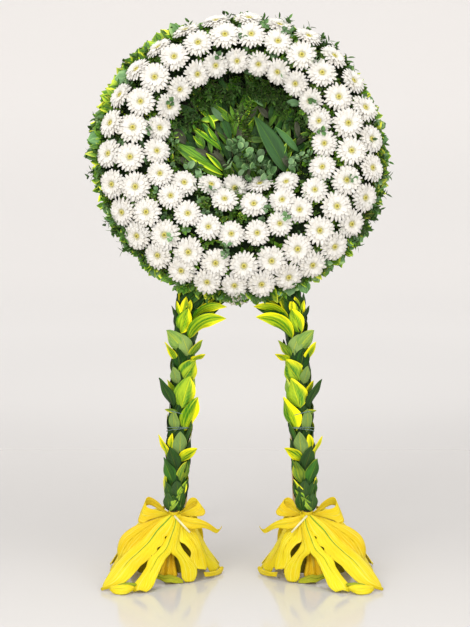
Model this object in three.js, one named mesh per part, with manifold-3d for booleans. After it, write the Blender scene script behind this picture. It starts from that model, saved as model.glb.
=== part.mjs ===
// A standing memorial wreath: a round bed of white gerberas and greenery on a two-legged easel.
// The legs are sheathed in whorls of variegated leaves, and each foot is dressed with yellow
// monstera leaves and a looped bow. Millimetres, +X right, +Y away from the viewer, +Z up.
// The origin is on the floor, in the middle of the space that the easel covers.
import * as THREE from "three";
import { mergeVertices } from "three/addons/utils/BufferGeometryUtils.js";
import Module from "manifold-3d";

const wasm = await Module();
wasm.setup();

// ---------------------------------------------------------------- driving dimensions
const GAP = 0.3; // between pieces that touch
const LEAN = THREE.MathUtils.degToRad(14); // the face leans back this far from upright
const TOE_IN = THREE.MathUtils.degToRad(3.2); // the posts close in towards the top
const FOOT_X = 245; // from the middle to each post, on the floor
const FOOT_Y = -270; // the posts' feet, in front of the origin
const POST = { side: 40, length: 1800 };

const BOARD = { radius: 472, thickness: 9 };
const RING_HEIGHT = 1482; // ring centre above the floor, measured up the leaning face
const RING = { outer: 497, innerX: 235, innerZ: 205, innerRise: 85, height: 100 };

const RAIL = { width: 45, thickness: 18 };
const RAILS = [
  { name: "lower_rail", up: 1165, length: 620 },
  { name: "upper_rail", up: 1715, length: 500 },
];
const STRUT = { thickness: 20, length: 1700, topUp: 1400, angle: THREE.MathUtils.degToRad(30.4) };
const STAY = { thickness: 15, width: 35, length: 700, height: 105 };
const GUSSET = { thickness: 9, reachUp: 60, reachDown: 190, reachBack: 120 };

const FLOWER = { petals: 6, headDepth: 21, lift: 27, maxTilt: 0.9 };
const STRIP = { size: 3.4, lift: 12 };

const SLEEVE = { inner: 29.5, outer: 34 };
const TIERS = { count: 6, pitch: 102, first: 262, ringsPerTier: 2, leavesPerRing: 5 };
const TIER_LEAF = { length: 150, halfWidth: 26, thickness: 3.4, slope: 0.2, flareFrom: 75 };

const TIE = { up: 240, radius: 33, wire: 3.6 };
const DRAPE = {
  thickness: 3.2,
  full: [[45, 226], [92, 196], [148, 122], [186, 44], [206, 3]],
  slack: [[42, 226], [60, 190], [88, 124], [128, 62], [172, 3]],
};

const COLOURS = {
  timber: 0xb08d5e,
  board: 0x3d3a30,
  foam: 0x2f4a24,
  petal: 0xf6f1e8,
  boxLeaf: 0x4f8030,
  darkLeaf: 0x234d22,
  leaf: 0x3d7a2c,
  variegated: 0x8fb52e,
  eucalyptus: 0x7ea383,
  yellow: 0xf6d91c,
  twine: 0x6f8f7c,
};

// ---------------------------------------------------------------- solids and cutting
function toSolid(geometry, matrix = new THREE.Matrix4()) {
  const bare = (geometry.index ? geometry.toNonIndexed() : geometry.clone()).applyMatrix4(matrix);
  const open = new THREE.BufferGeometry().setAttribute("position", bare.getAttribute("position"));
  const merged = mergeVertices(open, 1e-3);
  const corners = merged.index.array;
  const faces = [];
  for (let i = 0; i < corners.length; i += 3) {
    const [a, b, c] = corners.slice(i, i + 3);
    if (a !== b && b !== c && c !== a) faces.push(a, b, c);
  }
  return new wasm.Manifold(
    new wasm.Mesh({
      numProp: 3,
      vertProperties: merged.attributes.position.array,
      triVerts: new Uint32Array(faces),
    }),
  );
}

function toGeometry(solid) {
  const mesh = solid.getMesh();
  return new THREE.BufferGeometry()
    .setAttribute("position", new THREE.BufferAttribute(new Float32Array(mesh.vertProperties), 3))
    .setIndex(new THREE.BufferAttribute(new Uint32Array(mesh.triVerts), 1));
}

function join(solids) {
  return solids.reduce((whole, piece) => whole.add(piece));
}

// The same solid with the sealed pockets filled that overlapping leaves can leave between them.
function withoutPockets(solid) {
  return join(solid.decompose().filter((body) => body.volume() > 0));
}

// Everything below the floor, as a solid in a group's own frame.
function floorBlock(group) {
  const size = 4000;
  const slab = new THREE.Matrix4().makeTranslation(0, 0, -size / 2);
  const intoGroup = group.matrixWorld.clone().invert();
  return toSolid(new THREE.BoxGeometry(size, size, size), intoGroup.multiply(slab));
}

const root = new THREE.Group();
root.name = "memorial_wreath";

function addMesh(parent, name, geometry, colour, roughness = 0.7) {
  geometry.computeVertexNormals();
  const material = new THREE.MeshStandardMaterial({ color: colour, roughness, metalness: 0 });
  const mesh = new THREE.Mesh(geometry, material);
  mesh.name = name;
  parent.add(mesh);
  return mesh;
}

// ---------------------------------------------------------------- leaves as solids
// A four-sided sphere has a pole at each end: one becomes the leaf's base and the other its tip,
// and place(s, side, face) says where a point goes. s runs from 0 at the base to 1 at the tip,
// side is -1 to 1 from edge to edge, and face is 1 on the upper skin and -1 on the lower one.
function bladeGeometry(sections, place) {
  const blade = new THREE.SphereGeometry(1, 4, sections);
  const at = blade.getAttribute("position");
  for (let i = 0; i < at.count; i++) {
    const theta = Math.acos(THREE.MathUtils.clamp(at.getY(i), -1, 1));
    const around = Math.sin(theta);
    const pole = around < 1e-6;
    const spot = place(
      theta / Math.PI,
      pole ? 0 : at.getX(i) / around,
      pole ? 0 : at.getZ(i) / around,
    );
    at.setXYZ(i, spot.x, spot.y, spot.z);
  }
  return blade;
}

// How wide a pointed leaf is along its length, as a share of its greatest half width.
function leafOutline(s) {
  return Math.pow(Math.sin(Math.PI * Math.pow(s, 0.85)), 0.8);
}

// A leaf that follows a curve. across(t) is the direction from its midrib to its right edge.
function bladeAlong(curve, halfWidth, thickness, across, { sections = 5, fold = 0.15 } = {}) {
  return bladeGeometry(sections, (s, side, face) => {
    const spine = curve.getPoint(s);
    const along = curve.getTangent(s);
    const right = across(s, spine).clone().addScaledVector(along, -along.dot(across(s, spine)));
    right.normalize();
    const up = new THREE.Vector3().crossVectors(along, right);
    const half = halfWidth * leafOutline(s);
    const raised = Math.abs(side) * half * fold + (face * thickness) / 2;
    return spine.addScaledVector(right, side * half).addScaledVector(up, raised);
  });
}

// A small flat leaf from a point, in a direction: the leaf of a twig.
function twigLeaf(base, direction, right, length, halfWidth) {
  const tip = base.clone().addScaledVector(direction, length);
  const line = new THREE.LineCurve3(base, tip);
  return bladeAlong(line, halfWidth, 3, () => right, { sections: 3, fold: 0 });
}

function triangleShape(side) {
  const corners = [90, 210, 330].map((turn) => THREE.MathUtils.degToRad(turn));
  return new THREE.Shape(
    corners.map((turn) => new THREE.Vector2(side * Math.cos(turn), side * Math.sin(turn))),
  );
}

function squareShape(width, height = width) {
  const [x, y] = [width / 2, height / 2];
  const corners = [[-x, -y], [x, -y], [x, y], [-x, y]];
  return new THREE.Shape(corners.map((corner) => new THREE.Vector2(...corner)));
}

function sweep(shape, curve, steps) {
  return new THREE.ExtrudeGeometry(shape, { steps, bevelEnabled: false, extrudePath: curve });
}

// ---------------------------------------------------------------- the easel
// The face group leans back with the posts: its x and z lie in the face, and -y looks out of it.
const face = new THREE.Group();
face.position.set(0, FOOT_Y, 0);
face.rotation.set(-LEAN, 0, 0);
root.add(face);

const legs = ["left", "right"].map((hand) => {
  const outward = hand === "left" ? -1 : 1;
  const group = new THREE.Group();
  group.position.set(outward * FOOT_X, 0, 0);
  group.rotation.set(0, -outward * TOE_IN, 0);
  face.add(group);
  return { hand, outward, group };
});
root.updateMatrixWorld(true);

// A straight batten whose middle line runs from one point to another, with no cuts.
function batten(from, to, width, depth) {
  const middle = from.clone().add(to).multiplyScalar(0.5);
  const direction = to.clone().sub(from);
  const turn = new THREE.Quaternion().setFromUnitVectors(
    new THREE.Vector3(0, 0, 1),
    direction.clone().normalize(),
  );
  const box = new THREE.BoxGeometry(width, depth, direction.length());
  return toSolid(box.applyQuaternion(turn).translate(middle.x, middle.y, middle.z));
}

for (const { hand, outward, group } of legs) {
  const under = floorBlock(group);
  const back = POST.side / 2;

  const postFoot = new THREE.Vector3(0, 0, -60);
  const postTop = new THREE.Vector3(0, 0, POST.length);
  const post = batten(postFoot, postTop, POST.side, POST.side);
  addMesh(group, `post_${hand}`, toGeometry(post.subtract(under)), COLOURS.timber);

  // The rear strut starts against the back of the post and runs down and back to the floor.
  const top = new THREE.Vector3(0, back, STRUT.topUp);
  const down = new THREE.Vector3(0, Math.sin(STRUT.angle), -Math.cos(STRUT.angle));
  const start = top.clone().addScaledVector(down, -60);
  const end = top.clone().addScaledVector(down, STRUT.length);
  const behindPost = batten(
    new THREE.Vector3(0, back + GAP - 400, -200),
    new THREE.Vector3(0, back + GAP - 400, 2400),
    200,
    800,
  );
  const strut = batten(start, end, POST.side, STRUT.thickness);
  addMesh(
    group,
    `strut_${hand}`,
    toGeometry(strut.subtract(behindPost).subtract(under)),
    COLOURS.timber,
  );

  // A side stay near the floor ties post and strut together, screwed to their outer sides.
  const besidePost = outward * (POST.side / 2 + GAP + STAY.thickness / 2);
  const level = new THREE.Vector3(0, Math.cos(LEAN), Math.sin(LEAN));
  const stayStart = new THREE.Vector3(besidePost, -back, STAY.height + 5);
  const stayEnd = stayStart.clone().addScaledVector(level, STAY.length);
  addMesh(
    group,
    `side_stay_${hand}`,
    toGeometry(batten(stayStart, stayEnd, STAY.thickness, STAY.width)),
    COLOURS.timber,
  );

  // A plywood gusset plate joins the top of the strut to the post.
  const gusset = new THREE.Shape();
  gusset.moveTo(-back, STRUT.topUp + GUSSET.reachUp);
  gusset.lineTo(-back, STRUT.topUp - GUSSET.reachDown);
  gusset.lineTo(GUSSET.reachBack, STRUT.topUp - GUSSET.reachDown);
  gusset.lineTo(back, STRUT.topUp + GUSSET.reachUp);
  const plate = new THREE.ExtrudeGeometry(gusset, { depth: GUSSET.thickness, bevelEnabled: false });
  plate.applyMatrix4(
    new THREE.Matrix4().makeBasis(
      new THREE.Vector3(0, 1, 0),
      new THREE.Vector3(0, 0, 1),
      new THREE.Vector3(1, 0, 0),
    ),
  );
  const inner = POST.side / 2 + GAP;
  plate.translate(outward > 0 ? inner : -inner - GUSSET.thickness, 0, 0);
  addMesh(group, `gusset_${hand}`, toGeometry(toSolid(plate)), COLOURS.timber);
}

for (const { name, up, length } of RAILS) {
  const rail = new THREE.BoxGeometry(length, RAIL.thickness, RAIL.width);
  rail.translate(0, POST.side / 2 + GAP + RAIL.thickness / 2, up);
  addMesh(face, name, rail, COLOURS.timber);
}

// The backing board is a disc of plywood on the front of the posts.
const boardBack = POST.side / 2 + GAP;
const board = new THREE.CylinderGeometry(BOARD.radius, BOARD.radius, BOARD.thickness, 40);
board.translate(0, -boardBack - BOARD.thickness / 2, RING_HEIGHT);
addMesh(face, "backing_board", board, COLOURS.board);

// ---------------------------------------------------------------- the flower bed
// Points on the face: x across, z up from the ring's centre, and a height above the board.
const bedBack = boardBack + BOARD.thickness + GAP;
function facePoint(x, z, height) {
  return new THREE.Vector3(x, -bedBack - height, RING_HEIGHT + z);
}

// The bed is a crescent: its outer edge is a circle and its hole an ellipse set above the middle.
function innerReach(x, z) {
  return Math.hypot(x / RING.innerX, (z - RING.innerRise) / RING.innerZ);
}
function bedShare(x, z) {
  const meanRadius = (RING.innerX + RING.innerZ) / 2;
  const fromHole = (innerReach(x, z) - 1) * meanRadius;
  const toRim = RING.outer - Math.hypot(x, z);
  return THREE.MathUtils.clamp(fromHole / (fromHole + toRim), 0.02, 0.98);
}
function bedHeight(x, z) {
  const share = bedShare(x, z);
  return RING.height * Math.sqrt(4 * share * (1 - share));
}

// The direction that a flower faces there, held to a greatest tilt.
function bedNormal(x, z) {
  const step = 4;
  const slopeX = (bedHeight(x + step, z) - bedHeight(x - step, z)) / (2 * step);
  const slopeZ = (bedHeight(x, z + step) - bedHeight(x, z - step)) / (2 * step);
  const steep = Math.hypot(slopeX, slopeZ);
  const tilt = Math.min(Math.atan(steep), FLOWER.maxTilt);
  const side = steep > 1e-6 ? Math.sin(tilt) / steep : 0;
  return new THREE.Vector3(-slopeX * side, -Math.cos(tilt), -slopeZ * side);
}

// The foam body: a torus whose tube angle runs across the bed, with a flat back.
function foamRing() {
  const ring = new THREE.TorusGeometry(2, 1, 8, 36);
  const at = ring.getAttribute("position");
  for (let i = 0; i < at.count; i++) {
    const around = Math.atan2(at.getY(i), at.getX(i));
    const tube = Math.hypot(at.getX(i), at.getY(i)) - 2;
    const ray = new THREE.Vector2(Math.cos(around), Math.sin(around));
    const hole = holeEdge(ray);
    const share = (1 + THREE.MathUtils.clamp(tube, -1, 1)) / 2;
    const spot = hole.lerp(ray.multiplyScalar(RING.outer), share);
    const height = at.getZ(i) > 1e-6 ? RING.height * Math.sqrt(4 * share * (1 - share)) : 0;
    const point = facePoint(spot.x, spot.y, height);
    at.setXYZ(i, point.x, point.y, point.z);
  }
  return ring;
}

// Where a ray from the ring's centre meets the edge of the hole.
function holeEdge(ray) {
  const a = (ray.x / RING.innerX) ** 2 + (ray.y / RING.innerZ) ** 2;
  const b = (-2 * ray.y * RING.innerRise) / RING.innerZ ** 2;
  const c = (RING.innerRise / RING.innerZ) ** 2 - 1;
  return ray.clone().multiplyScalar((-b + Math.sqrt(b * b - 4 * a * c)) / (2 * a));
}
addMesh(face, "foam_ring", foamRing(), COLOURS.foam, 0.9);

// ---------------------------------------------------------------- the gerberas
// One head, turned from a profile: the green cup, the ray petals' rim and the domed middle.
function flowerHead(radius) {
  const { headDepth: depth } = FLOWER;
  const profile = [[0, -depth], [radius, 0], [radius * 0.36, -4], [0, 3]];
  const points = profile.map((p) => new THREE.Vector2(...p));
  const head = new THREE.LatheGeometry(points, FLOWER.petals * 2);
  const at = head.getAttribute("position");
  for (let i = 0; i < at.count; i++) {
    const reach = Math.hypot(at.getX(i), at.getZ(i));
    const petal = Math.cos(FLOWER.petals * Math.atan2(at.getX(i), at.getZ(i)));
    const share = reach > radius * 0.9 && petal < 0 ? 0.84 : 1;
    at.setXYZ(i, at.getX(i) * share, at.getY(i), at.getZ(i) * share);
  }
  return head;
}

// Flowers stand in rows. A row's flowers share one thin binding strip under their heads, so that
// a stretch of the row is one piece, as a wired garland is.
function flowerSpot({ x, z }) {
  const normal = bedNormal(x, z);
  const foot = facePoint(x, z, bedHeight(x, z));
  return { normal, foot, centre: foot.clone().addScaledVector(normal, FLOWER.lift) };
}

function garland(name, spots, radius) {
  const heads = spots.map((spot) => {
    const { normal, centre } = flowerSpot(spot);
    const turn = new THREE.Quaternion().setFromUnitVectors(new THREE.Vector3(0, 1, 0), normal);
    const head = flowerHead(radius).applyQuaternion(turn);
    return toSolid(head.translate(centre.x, centre.y, centre.z));
  });
  const line = spots.map((spot) => {
    const { normal, foot } = flowerSpot(spot);
    return foot.addScaledVector(normal, STRIP.lift);
  });
  const path = new THREE.CatmullRomCurve3(line);
  const strip = toSolid(sweep(triangleShape(STRIP.size), path, spots.length - 1));
  addMesh(face, name, toGeometry(join([strip, ...heads])), COLOURS.petal, 0.55);
}

// A row round the bed: an ellipse, with its first flower that many degrees round from the top,
// and its flowers crowded a little towards the bottom, or the top where crowd is negative.
const ROWS = [
  {
    name: "outer_flowers",
    count: 28,
    radiusX: 466,
    radiusZ: 476,
    rise: 7,
    first: -9.8,
    crowd: 0.084,
    arcs: 4,
    head: 45,
  },
  {
    name: "crest_flowers",
    count: 25,
    radiusX: 386,
    radiusZ: 411,
    rise: 6,
    first: -8.7,
    crowd: -0.012,
    arcs: 3,
    head: 42,
  },
  {
    name: "inner_flowers",
    count: 23,
    radiusX: 304,
    radiusZ: 322,
    rise: 20,
    first: -2.4,
    crowd: -0.044,
    arcs: 2,
    head: 38,
  },
];
for (const row of ROWS) {
  const spots = Array.from({ length: row.count }, (_, i) => {
    const even = THREE.MathUtils.degToRad(row.first + (360 * i) / row.count);
    const turn = even + row.crowd * Math.sin(even);
    return { x: row.radiusX * Math.sin(turn), z: row.rise + row.radiusZ * Math.cos(turn) };
  });
  const perArc = Math.ceil(row.count / row.arcs);
  for (let arc = 0; arc < row.arcs; arc++) {
    garland(`${row.name}_${arc + 1}`, spots.slice(arc * perArc, (arc + 1) * perArc), row.head);
  }
}

// Two short rows fill the broad lower part of the bed, under the hole.
function shortRow(count, fromX, toX, z, wave) {
  return Array.from({ length: count }, (_, i) => ({
    x: THREE.MathUtils.lerp(fromX, toX, i / (count - 1)),
    z: z + (i % 2 ? -wave : wave),
  }));
}
garland("lip_flowers", shortRow(5, -205, 168, -124, 6), 36);
garland("middle_flowers", shortRow(3, -58, 152, -192, 8), 33);

// ---------------------------------------------------------------- greenery round the rim
// Four lengths of box twig lie round the edge of the bed, with leaves pointing outwards.
const RIM = { radius: 505, height: 9, twig: 7, sprays: 4, leaves: 17, leafLength: 38, halfWidth: 13 };
for (let spray = 0; spray < RIM.sprays; spray++) {
  const onRim = (share, extra = 0) => {
    const turn = ((spray + 0.012 + share * 0.976) / RIM.sprays) * 2 * Math.PI;
    const reach = RIM.radius + extra;
    return facePoint(reach * Math.sin(turn), reach * Math.cos(turn), RIM.height);
  };
  const twigLine = Array.from({ length: 9 }, (_, i) => onRim(i / 8));
  const pieces = [toSolid(sweep(triangleShape(RIM.twig), new THREE.CatmullRomCurve3(twigLine), 8))];
  for (let i = 0; i < RIM.leaves; i++) {
    const share = (i + 0.5) / RIM.leaves;
    const base = onRim(share);
    const out = onRim(share, 10).sub(base).normalize();
    const forward = new THREE.Vector3(0, i % 2 ? -0.35 : 0.3, 0);
    const direction = out.add(forward).normalize();
    const right = new THREE.Vector3().crossVectors(new THREE.Vector3(0, 1, 0), direction).normalize();
    pieces.push(toSolid(twigLeaf(base, direction, right, RIM.leafLength, RIM.halfWidth)));
  }
  addMesh(face, `rim_twigs_${spray + 1}`, toGeometry(join(pieces)), COLOURS.boxLeaf, 0.6);
}

// ---------------------------------------------------------------- greenery in the middle
// Broad leaves fan out from low in the hole, each on its own level so that none cuts another.
const FAN_BASE = { x: 0, z: -40 };
const FAN = [
  { turn: -78, length: 210, halfWidth: 34, colour: COLOURS.leaf },
  { turn: -52, length: 250, halfWidth: 36, colour: COLOURS.variegated },
  { turn: -16, length: 270, halfWidth: 32, colour: COLOURS.darkLeaf },
  { turn: 24, length: 280, halfWidth: 40, colour: COLOURS.darkLeaf },
  { turn: 58, length: 240, halfWidth: 34, colour: COLOURS.leaf },
];
FAN.forEach(({ turn, length, halfWidth, colour }, i) => {
  const angle = THREE.MathUtils.degToRad(turn);
  const level = 8 + i * 11;
  const spot = (share, rise) =>
    facePoint(
      FAN_BASE.x + Math.sin(angle) * length * share,
      FAN_BASE.z + Math.cos(angle) * length * share,
      level + rise,
    );
  const curve = new THREE.QuadraticBezierCurve3(spot(0.08, 0), spot(0.55, 7), spot(1, 0));
  const across = () => new THREE.Vector3(Math.cos(angle), 0, -Math.sin(angle));
  const leaf = bladeAlong(curve, halfWidth, 3.5, across, { sections: 6, fold: 0 });
  addMesh(face, `fan_leaf_${i + 1}`, leaf, colour, 0.45);
});

// A spray is one twig with pairs of leaves: ruscus hangs from the top, eucalyptus rises below.
function spray(name, curve, pairs, leafLength, halfWidth, colour) {
  const pieces = [toSolid(sweep(triangleShape(3), curve, 5))];
  for (let i = 0; i < pairs; i++) {
    const s = (i + 0.6) / pairs;
    const base = curve.getPoint(s);
    const along = curve.getTangent(s);
    for (const hand of [-1, 1]) {
      const out = new THREE.Vector3(hand * along.z, 0, -hand * along.x);
      const direction = out.addScaledVector(along, 0.7).normalize();
      const right = new THREE.Vector3().crossVectors(new THREE.Vector3(0, 1, 0), direction);
      pieces.push(toSolid(twigLeaf(base, direction, right, leafLength, halfWidth)));
    }
  }
  addMesh(face, name, toGeometry(join(pieces)), colour, 0.6);
}
const ruscusLine = new THREE.QuadraticBezierCurve3(
  facePoint(-20, 262, 30),
  facePoint(30, 215, 66),
  facePoint(10, 120, 72),
);
spray("ruscus_spray", ruscusLine, 5, 44, 10, COLOURS.leaf);
const eucalyptusLine = new THREE.QuadraticBezierCurve3(
  facePoint(30, -52, 66),
  facePoint(40, 20, 72),
  facePoint(-10, 92, 72),
);
spray("eucalyptus_spray", eucalyptusLine, 4, 34, 15, COLOURS.eucalyptus);

// ---------------------------------------------------------------- leaf whorls on the legs
// A whorl's leaves lie on a cone that opens upwards, so each whorl stands clear inside the one
// below it. Past the point where the whorl below has ended, a tip may curl further out.
function whorlRadius(up, flare) {
  const free = Math.max(0, up - TIER_LEAF.flareFrom);
  return SLEEVE.outer - 3 + TIER_LEAF.slope * up + flare * free * free;
}

function whorlLeaf(angle, from, flare) {
  return bladeGeometry(3, (s, side, skin) => {
    const up = s * TIER_LEAF.length;
    const half = TIER_LEAF.halfWidth * leafOutline(s);
    const radius = whorlRadius(up, flare) + (skin * TIER_LEAF.thickness) / 2;
    const turn = angle - (side * half) / whorlRadius(up, 0);
    return new THREE.Vector3(radius * Math.cos(turn), radius * Math.sin(turn), from + up);
  });
}

function sleeve(height) {
  const corners = [
    [SLEEVE.inner, 0],
    [SLEEVE.outer, 0],
    [SLEEVE.outer, height],
    [SLEEVE.inner, height],
    [SLEEVE.inner, 0],
  ];
  const profile = corners.map((corner) => new THREE.Vector2(...corner));
  return new THREE.LatheGeometry(profile, 8).rotateX(Math.PI / 2);
}

for (const { hand, outward, group } of legs) {
  for (let tier = 0; tier < TIERS.count; tier++) {
    const foot = TIERS.first + tier * TIERS.pitch;
    const height = TIERS.pitch - 2 * GAP;
    const pieces = [toSolid(sleeve(height).translate(0, 0, foot))];
    for (let ring = 0; ring < TIERS.ringsPerTier; ring++) {
      const from = foot + 2 + (ring * TIERS.pitch) / TIERS.ringsPerTier;
      for (let i = 0; i < TIERS.leavesPerRing; i++) {
        const step = (2 * Math.PI) / TIERS.leavesPerRing;
        const angle = outward * (step * (i + ring / 2) + 0.37 * tier);
        const flare = 0.0012 * (1 + ((i * 3 + tier * 2 + ring) % 5));
        pieces.push(toSolid(whorlLeaf(angle, from, flare)));
      }
    }
    const colour = tier % 2 ? COLOURS.variegated : COLOURS.leaf;
    addMesh(group, `leaf_whorl_${hand}_${tier + 1}`, toGeometry(join(pieces)), colour, 0.45);
  }

  const tie = new THREE.TorusGeometry(TIE.radius, TIE.wire, 6, 16).translate(0, 0, TIE.up);
  addMesh(group, `foot_tie_${hand}`, tie, COLOURS.twine, 0.8);
}

// ---------------------------------------------------------------- the dressed feet
// The feet group stands upright round each post's foot. On the left foot, turn 0 points inwards
// to the middle and 90 points to the viewer; the right foot is its mirror image.
function footFrame(outward) {
  const tieSpot = new THREE.Vector3(0, 0, TIE.up).applyMatrix4(
    legs[outward < 0 ? 0 : 1].group.matrixWorld,
  );
  return (degrees, reach, height) => {
    const turn = THREE.MathUtils.degToRad(degrees);
    return new THREE.Vector3(
      tieSpot.x - outward * reach * Math.cos(turn),
      tieSpot.y - reach * Math.sin(turn),
      height,
    );
  };
}

// How a monstera leaf falls: from the tie, over a shoulder and down to the floor. The numbers of
// a profile are distances out from the leg and heights: the full one bulges, the slack one sags.
function drapeSpot(profile, share, reach, lift) {
  const near = profile[0][0];
  const far = profile.at(-1)[0];
  const curve = new THREE.SplineCurve(profile.map((spot) => new THREE.Vector2(...spot)));
  const spot = curve.getPoint(share);
  const beyond = ((spot.x - near) / (far - near)) ** 3;
  return { out: spot.x + (reach - far) * beyond, height: spot.y + lift * beyond };
}

function drapeFinger(at, outward, profile, { turn, reach, halfWidth, lift = 0 }) {
  const shares = [0.05, 0.28, 0.5, 0.75, 1];
  const stations = shares.map((share) => drapeSpot(profile, share, reach, lift));
  const curve = new THREE.CatmullRomCurve3(
    stations.map(({ out, height }) => at(turn, out, height - DRAPE.thickness / 3)),
  );
  const across = () => at(turn + 90, 1, 0).sub(at(turn, 0, 0)).multiplyScalar(-outward);
  return bladeAlong(curve, halfWidth, DRAPE.thickness, across, { sections: 5, fold: 0 });
}

// The undivided part of a leaf, near its stalk: a band of the draped surface, between two turns.
function drapeShoulder(at, outward, profile, from, to) {
  const far = profile.at(-1)[0];
  const upper = [0, 0.22, 0.48].map((share) => drapeSpot(profile, share, far, 0));
  const outline = [
    ...upper.map(({ out, height }) => [out, height - DRAPE.thickness]),
    ...upper.reverse().map(({ out, height }) => [out, height]),
  ];
  const band = wasm.Manifold.revolve([outline], 20, to - from);
  const start = outward < 0 ? -to : 180 + from;
  const axis = at(0, 0, 0);
  return band.rotate([0, 0, start]).translate([axis.x, axis.y, 0]);
}

const MONSTERA = [
  {
    name: "monstera_leaf_front",
    profile: DRAPE.full,
    fingers: [
      { turn: 44, reach: 164, halfWidth: 32, lift: 22 },
      { turn: 67, reach: 158, halfWidth: 28 },
      { turn: 108, reach: 270, halfWidth: 34 },
      { turn: 120, reach: 330, halfWidth: 26 },
      { turn: 133, reach: 344, halfWidth: 32 },
      { turn: 149, reach: 214, halfWidth: 34, lift: 14 },
    ],
  },
  {
    name: "monstera_leaf_side",
    profile: DRAPE.slack,
    fingers: [
      { turn: -52, reach: 186, halfWidth: 34 },
      { turn: -24, reach: 176, halfWidth: 34, lift: 8 },
      { turn: 6, reach: 170, halfWidth: 32 },
    ],
  },
  {
    name: "monstera_leaf_back",
    profile: DRAPE.full,
    fingers: [
      { turn: 188, reach: 212, halfWidth: 32 },
      { turn: 218, reach: 226, halfWidth: 34 },
    ],
  },
];

// A bow loop is a leaf bent back on itself, with its base and its tip both under the tie and
// its broad middle turned over at the far end.
const BOW = { front: 58, sink: 20, rise: 30, depth: 24, halfWidth: 34, thickness: 2.6 };
function bowLoop(at, direction, reach) {
  const spot = (out, up, forward) => {
    const base = at(90, BOW.front + forward, TIE.up - BOW.sink + up);
    base.x += direction * out;
    return base;
  };
  const curve = new THREE.CatmullRomCurve3([
    spot(10, 18, -6),
    spot(reach * 0.55, BOW.rise * 0.8, -BOW.depth),
    spot(reach * 0.93, BOW.rise, -BOW.depth * 0.7),
    spot(reach, BOW.rise * 0.8, BOW.depth * 0.1),
    spot(reach * 0.85, BOW.rise * 0.55, BOW.depth * 0.8),
    spot(reach * 0.5, BOW.rise * 0.4, BOW.depth * 0.7),
    spot(10, 14, 6),
  ]);
  const across = () => new THREE.Vector3(direction * 0.25, -0.2, 1);
  return bladeAlong(curve, BOW.halfWidth, BOW.thickness, across, { sections: 11, fold: 0 });
}

for (const { hand, outward } of legs) {
  const at = footFrame(outward);
  for (const { name, profile, fingers } of MONSTERA) {
    const ends = [fingers[0].turn - 9, fingers.at(-1).turn + 9];
    const shoulder = drapeShoulder(at, outward, profile, ...ends);
    const solids = fingers.map((finger) => toSolid(drapeFinger(at, outward, profile, finger)));
    const leaf = withoutPockets(join([shoulder, ...solids]));
    addMesh(root, `${name}_${hand}`, toGeometry(leaf), COLOURS.yellow, 0.4);
  }
  addMesh(root, `bow_loop_outer_${hand}`, bowLoop(at, outward, 112), COLOURS.yellow, 0.4);
  addMesh(root, `bow_loop_inner_${hand}`, bowLoop(at, -outward, 98), COLOURS.yellow, 0.4);
}

export default root;
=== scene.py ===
"""A standing memorial wreath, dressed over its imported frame.

A round bed of white gerberas and greenery leans back on a timber easel. Its two front legs are
sheathed in variegated leaves, and each foot has a yellow bow over draped yellow monstera leaves.
Metres, +X right, +Y away from the viewer, +Z up, with the origin on the floor.
"""

import math
import random

import bmesh
import bpy
from bpy.props import FloatProperty, FloatVectorProperty, IntProperty, PointerProperty
from mathutils import Matrix, Vector, noise


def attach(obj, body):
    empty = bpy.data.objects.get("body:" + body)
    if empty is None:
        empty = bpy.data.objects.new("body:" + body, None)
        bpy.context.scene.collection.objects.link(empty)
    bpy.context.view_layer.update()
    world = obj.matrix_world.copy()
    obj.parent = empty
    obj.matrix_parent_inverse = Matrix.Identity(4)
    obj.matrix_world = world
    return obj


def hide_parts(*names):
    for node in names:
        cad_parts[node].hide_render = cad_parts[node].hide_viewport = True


bl_info = {
    "name": "Memorial wreath",
    "version": (1, 0, 0),
    "blender": (4, 5, 0),
    "location": "View3D > Sidebar > Wreath",
    "description": "Dresses a standing wreath with flowers, leaves, bows and its studio",
    "category": "Object",
}

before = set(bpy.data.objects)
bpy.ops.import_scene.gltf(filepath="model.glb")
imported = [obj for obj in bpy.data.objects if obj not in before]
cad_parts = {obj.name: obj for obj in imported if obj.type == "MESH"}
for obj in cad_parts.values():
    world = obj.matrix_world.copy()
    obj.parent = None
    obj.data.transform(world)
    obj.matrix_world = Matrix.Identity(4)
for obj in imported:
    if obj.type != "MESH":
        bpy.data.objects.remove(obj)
MM = 0.001
HANDS = {"left": -1, "right": 1}
GOLDEN_ANGLE = math.radians(137.5)


# ---------------------------------------------------------------- settings
def metres(name, description, default):
    return FloatProperty(name=name, description=description, default=default, unit="LENGTH")


def radians(name, description, default):
    return FloatProperty(name=name, description=description, default=default, subtype="ANGLE")


def amount(name, description, default):
    return IntProperty(name=name, description=description, default=default)


class StandSettings(bpy.types.PropertyGroup):
    """Where the easel and the bed of flowers stand, as the frame has them."""

    lean: radians("Lean", "How far the face leans back", math.radians(14))
    toe_in: radians("Toe in", "How far each post closes in", math.radians(3.2))
    foot_x: metres("Foot X", "Middle to a post", 0.245)
    foot_y: metres("Foot Y", "Origin to the posts", -0.27)
    ring_height: metres("Ring height", "Ring centre, up the face", 1.482)
    bed_back: metres("Bed back", "Post axis to the bed's back", 0.0296)
    bed_depth: metres("Bed depth", "Crown of the bed", 0.1)
    ring_outer: metres("Ring radius", "Edge of the bed", 0.497)
    hole_x: metres("Hole half width", "Middle hole", 0.235)
    hole_z: metres("Hole half height", "Middle hole", 0.205)
    hole_rise: metres("Hole rise", "Hole centre above the ring's", 0.085)
    tie_height: metres("Tie height", "The foot's tie, up the post", 0.24)


class FlowerSettings(bpy.types.PropertyGroup):
    """The gerberas' size, and how they stand."""

    lift: metres("Lift", "Rim above the bed", 0.027)
    greatest_tilt: radians("Greatest tilt", "How far a head may turn", 0.9)
    petal_width: metres("Petal width", "Widest", 0.0118)
    sorts: amount("Sorts", "Different heads to choose from", 7)


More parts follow.
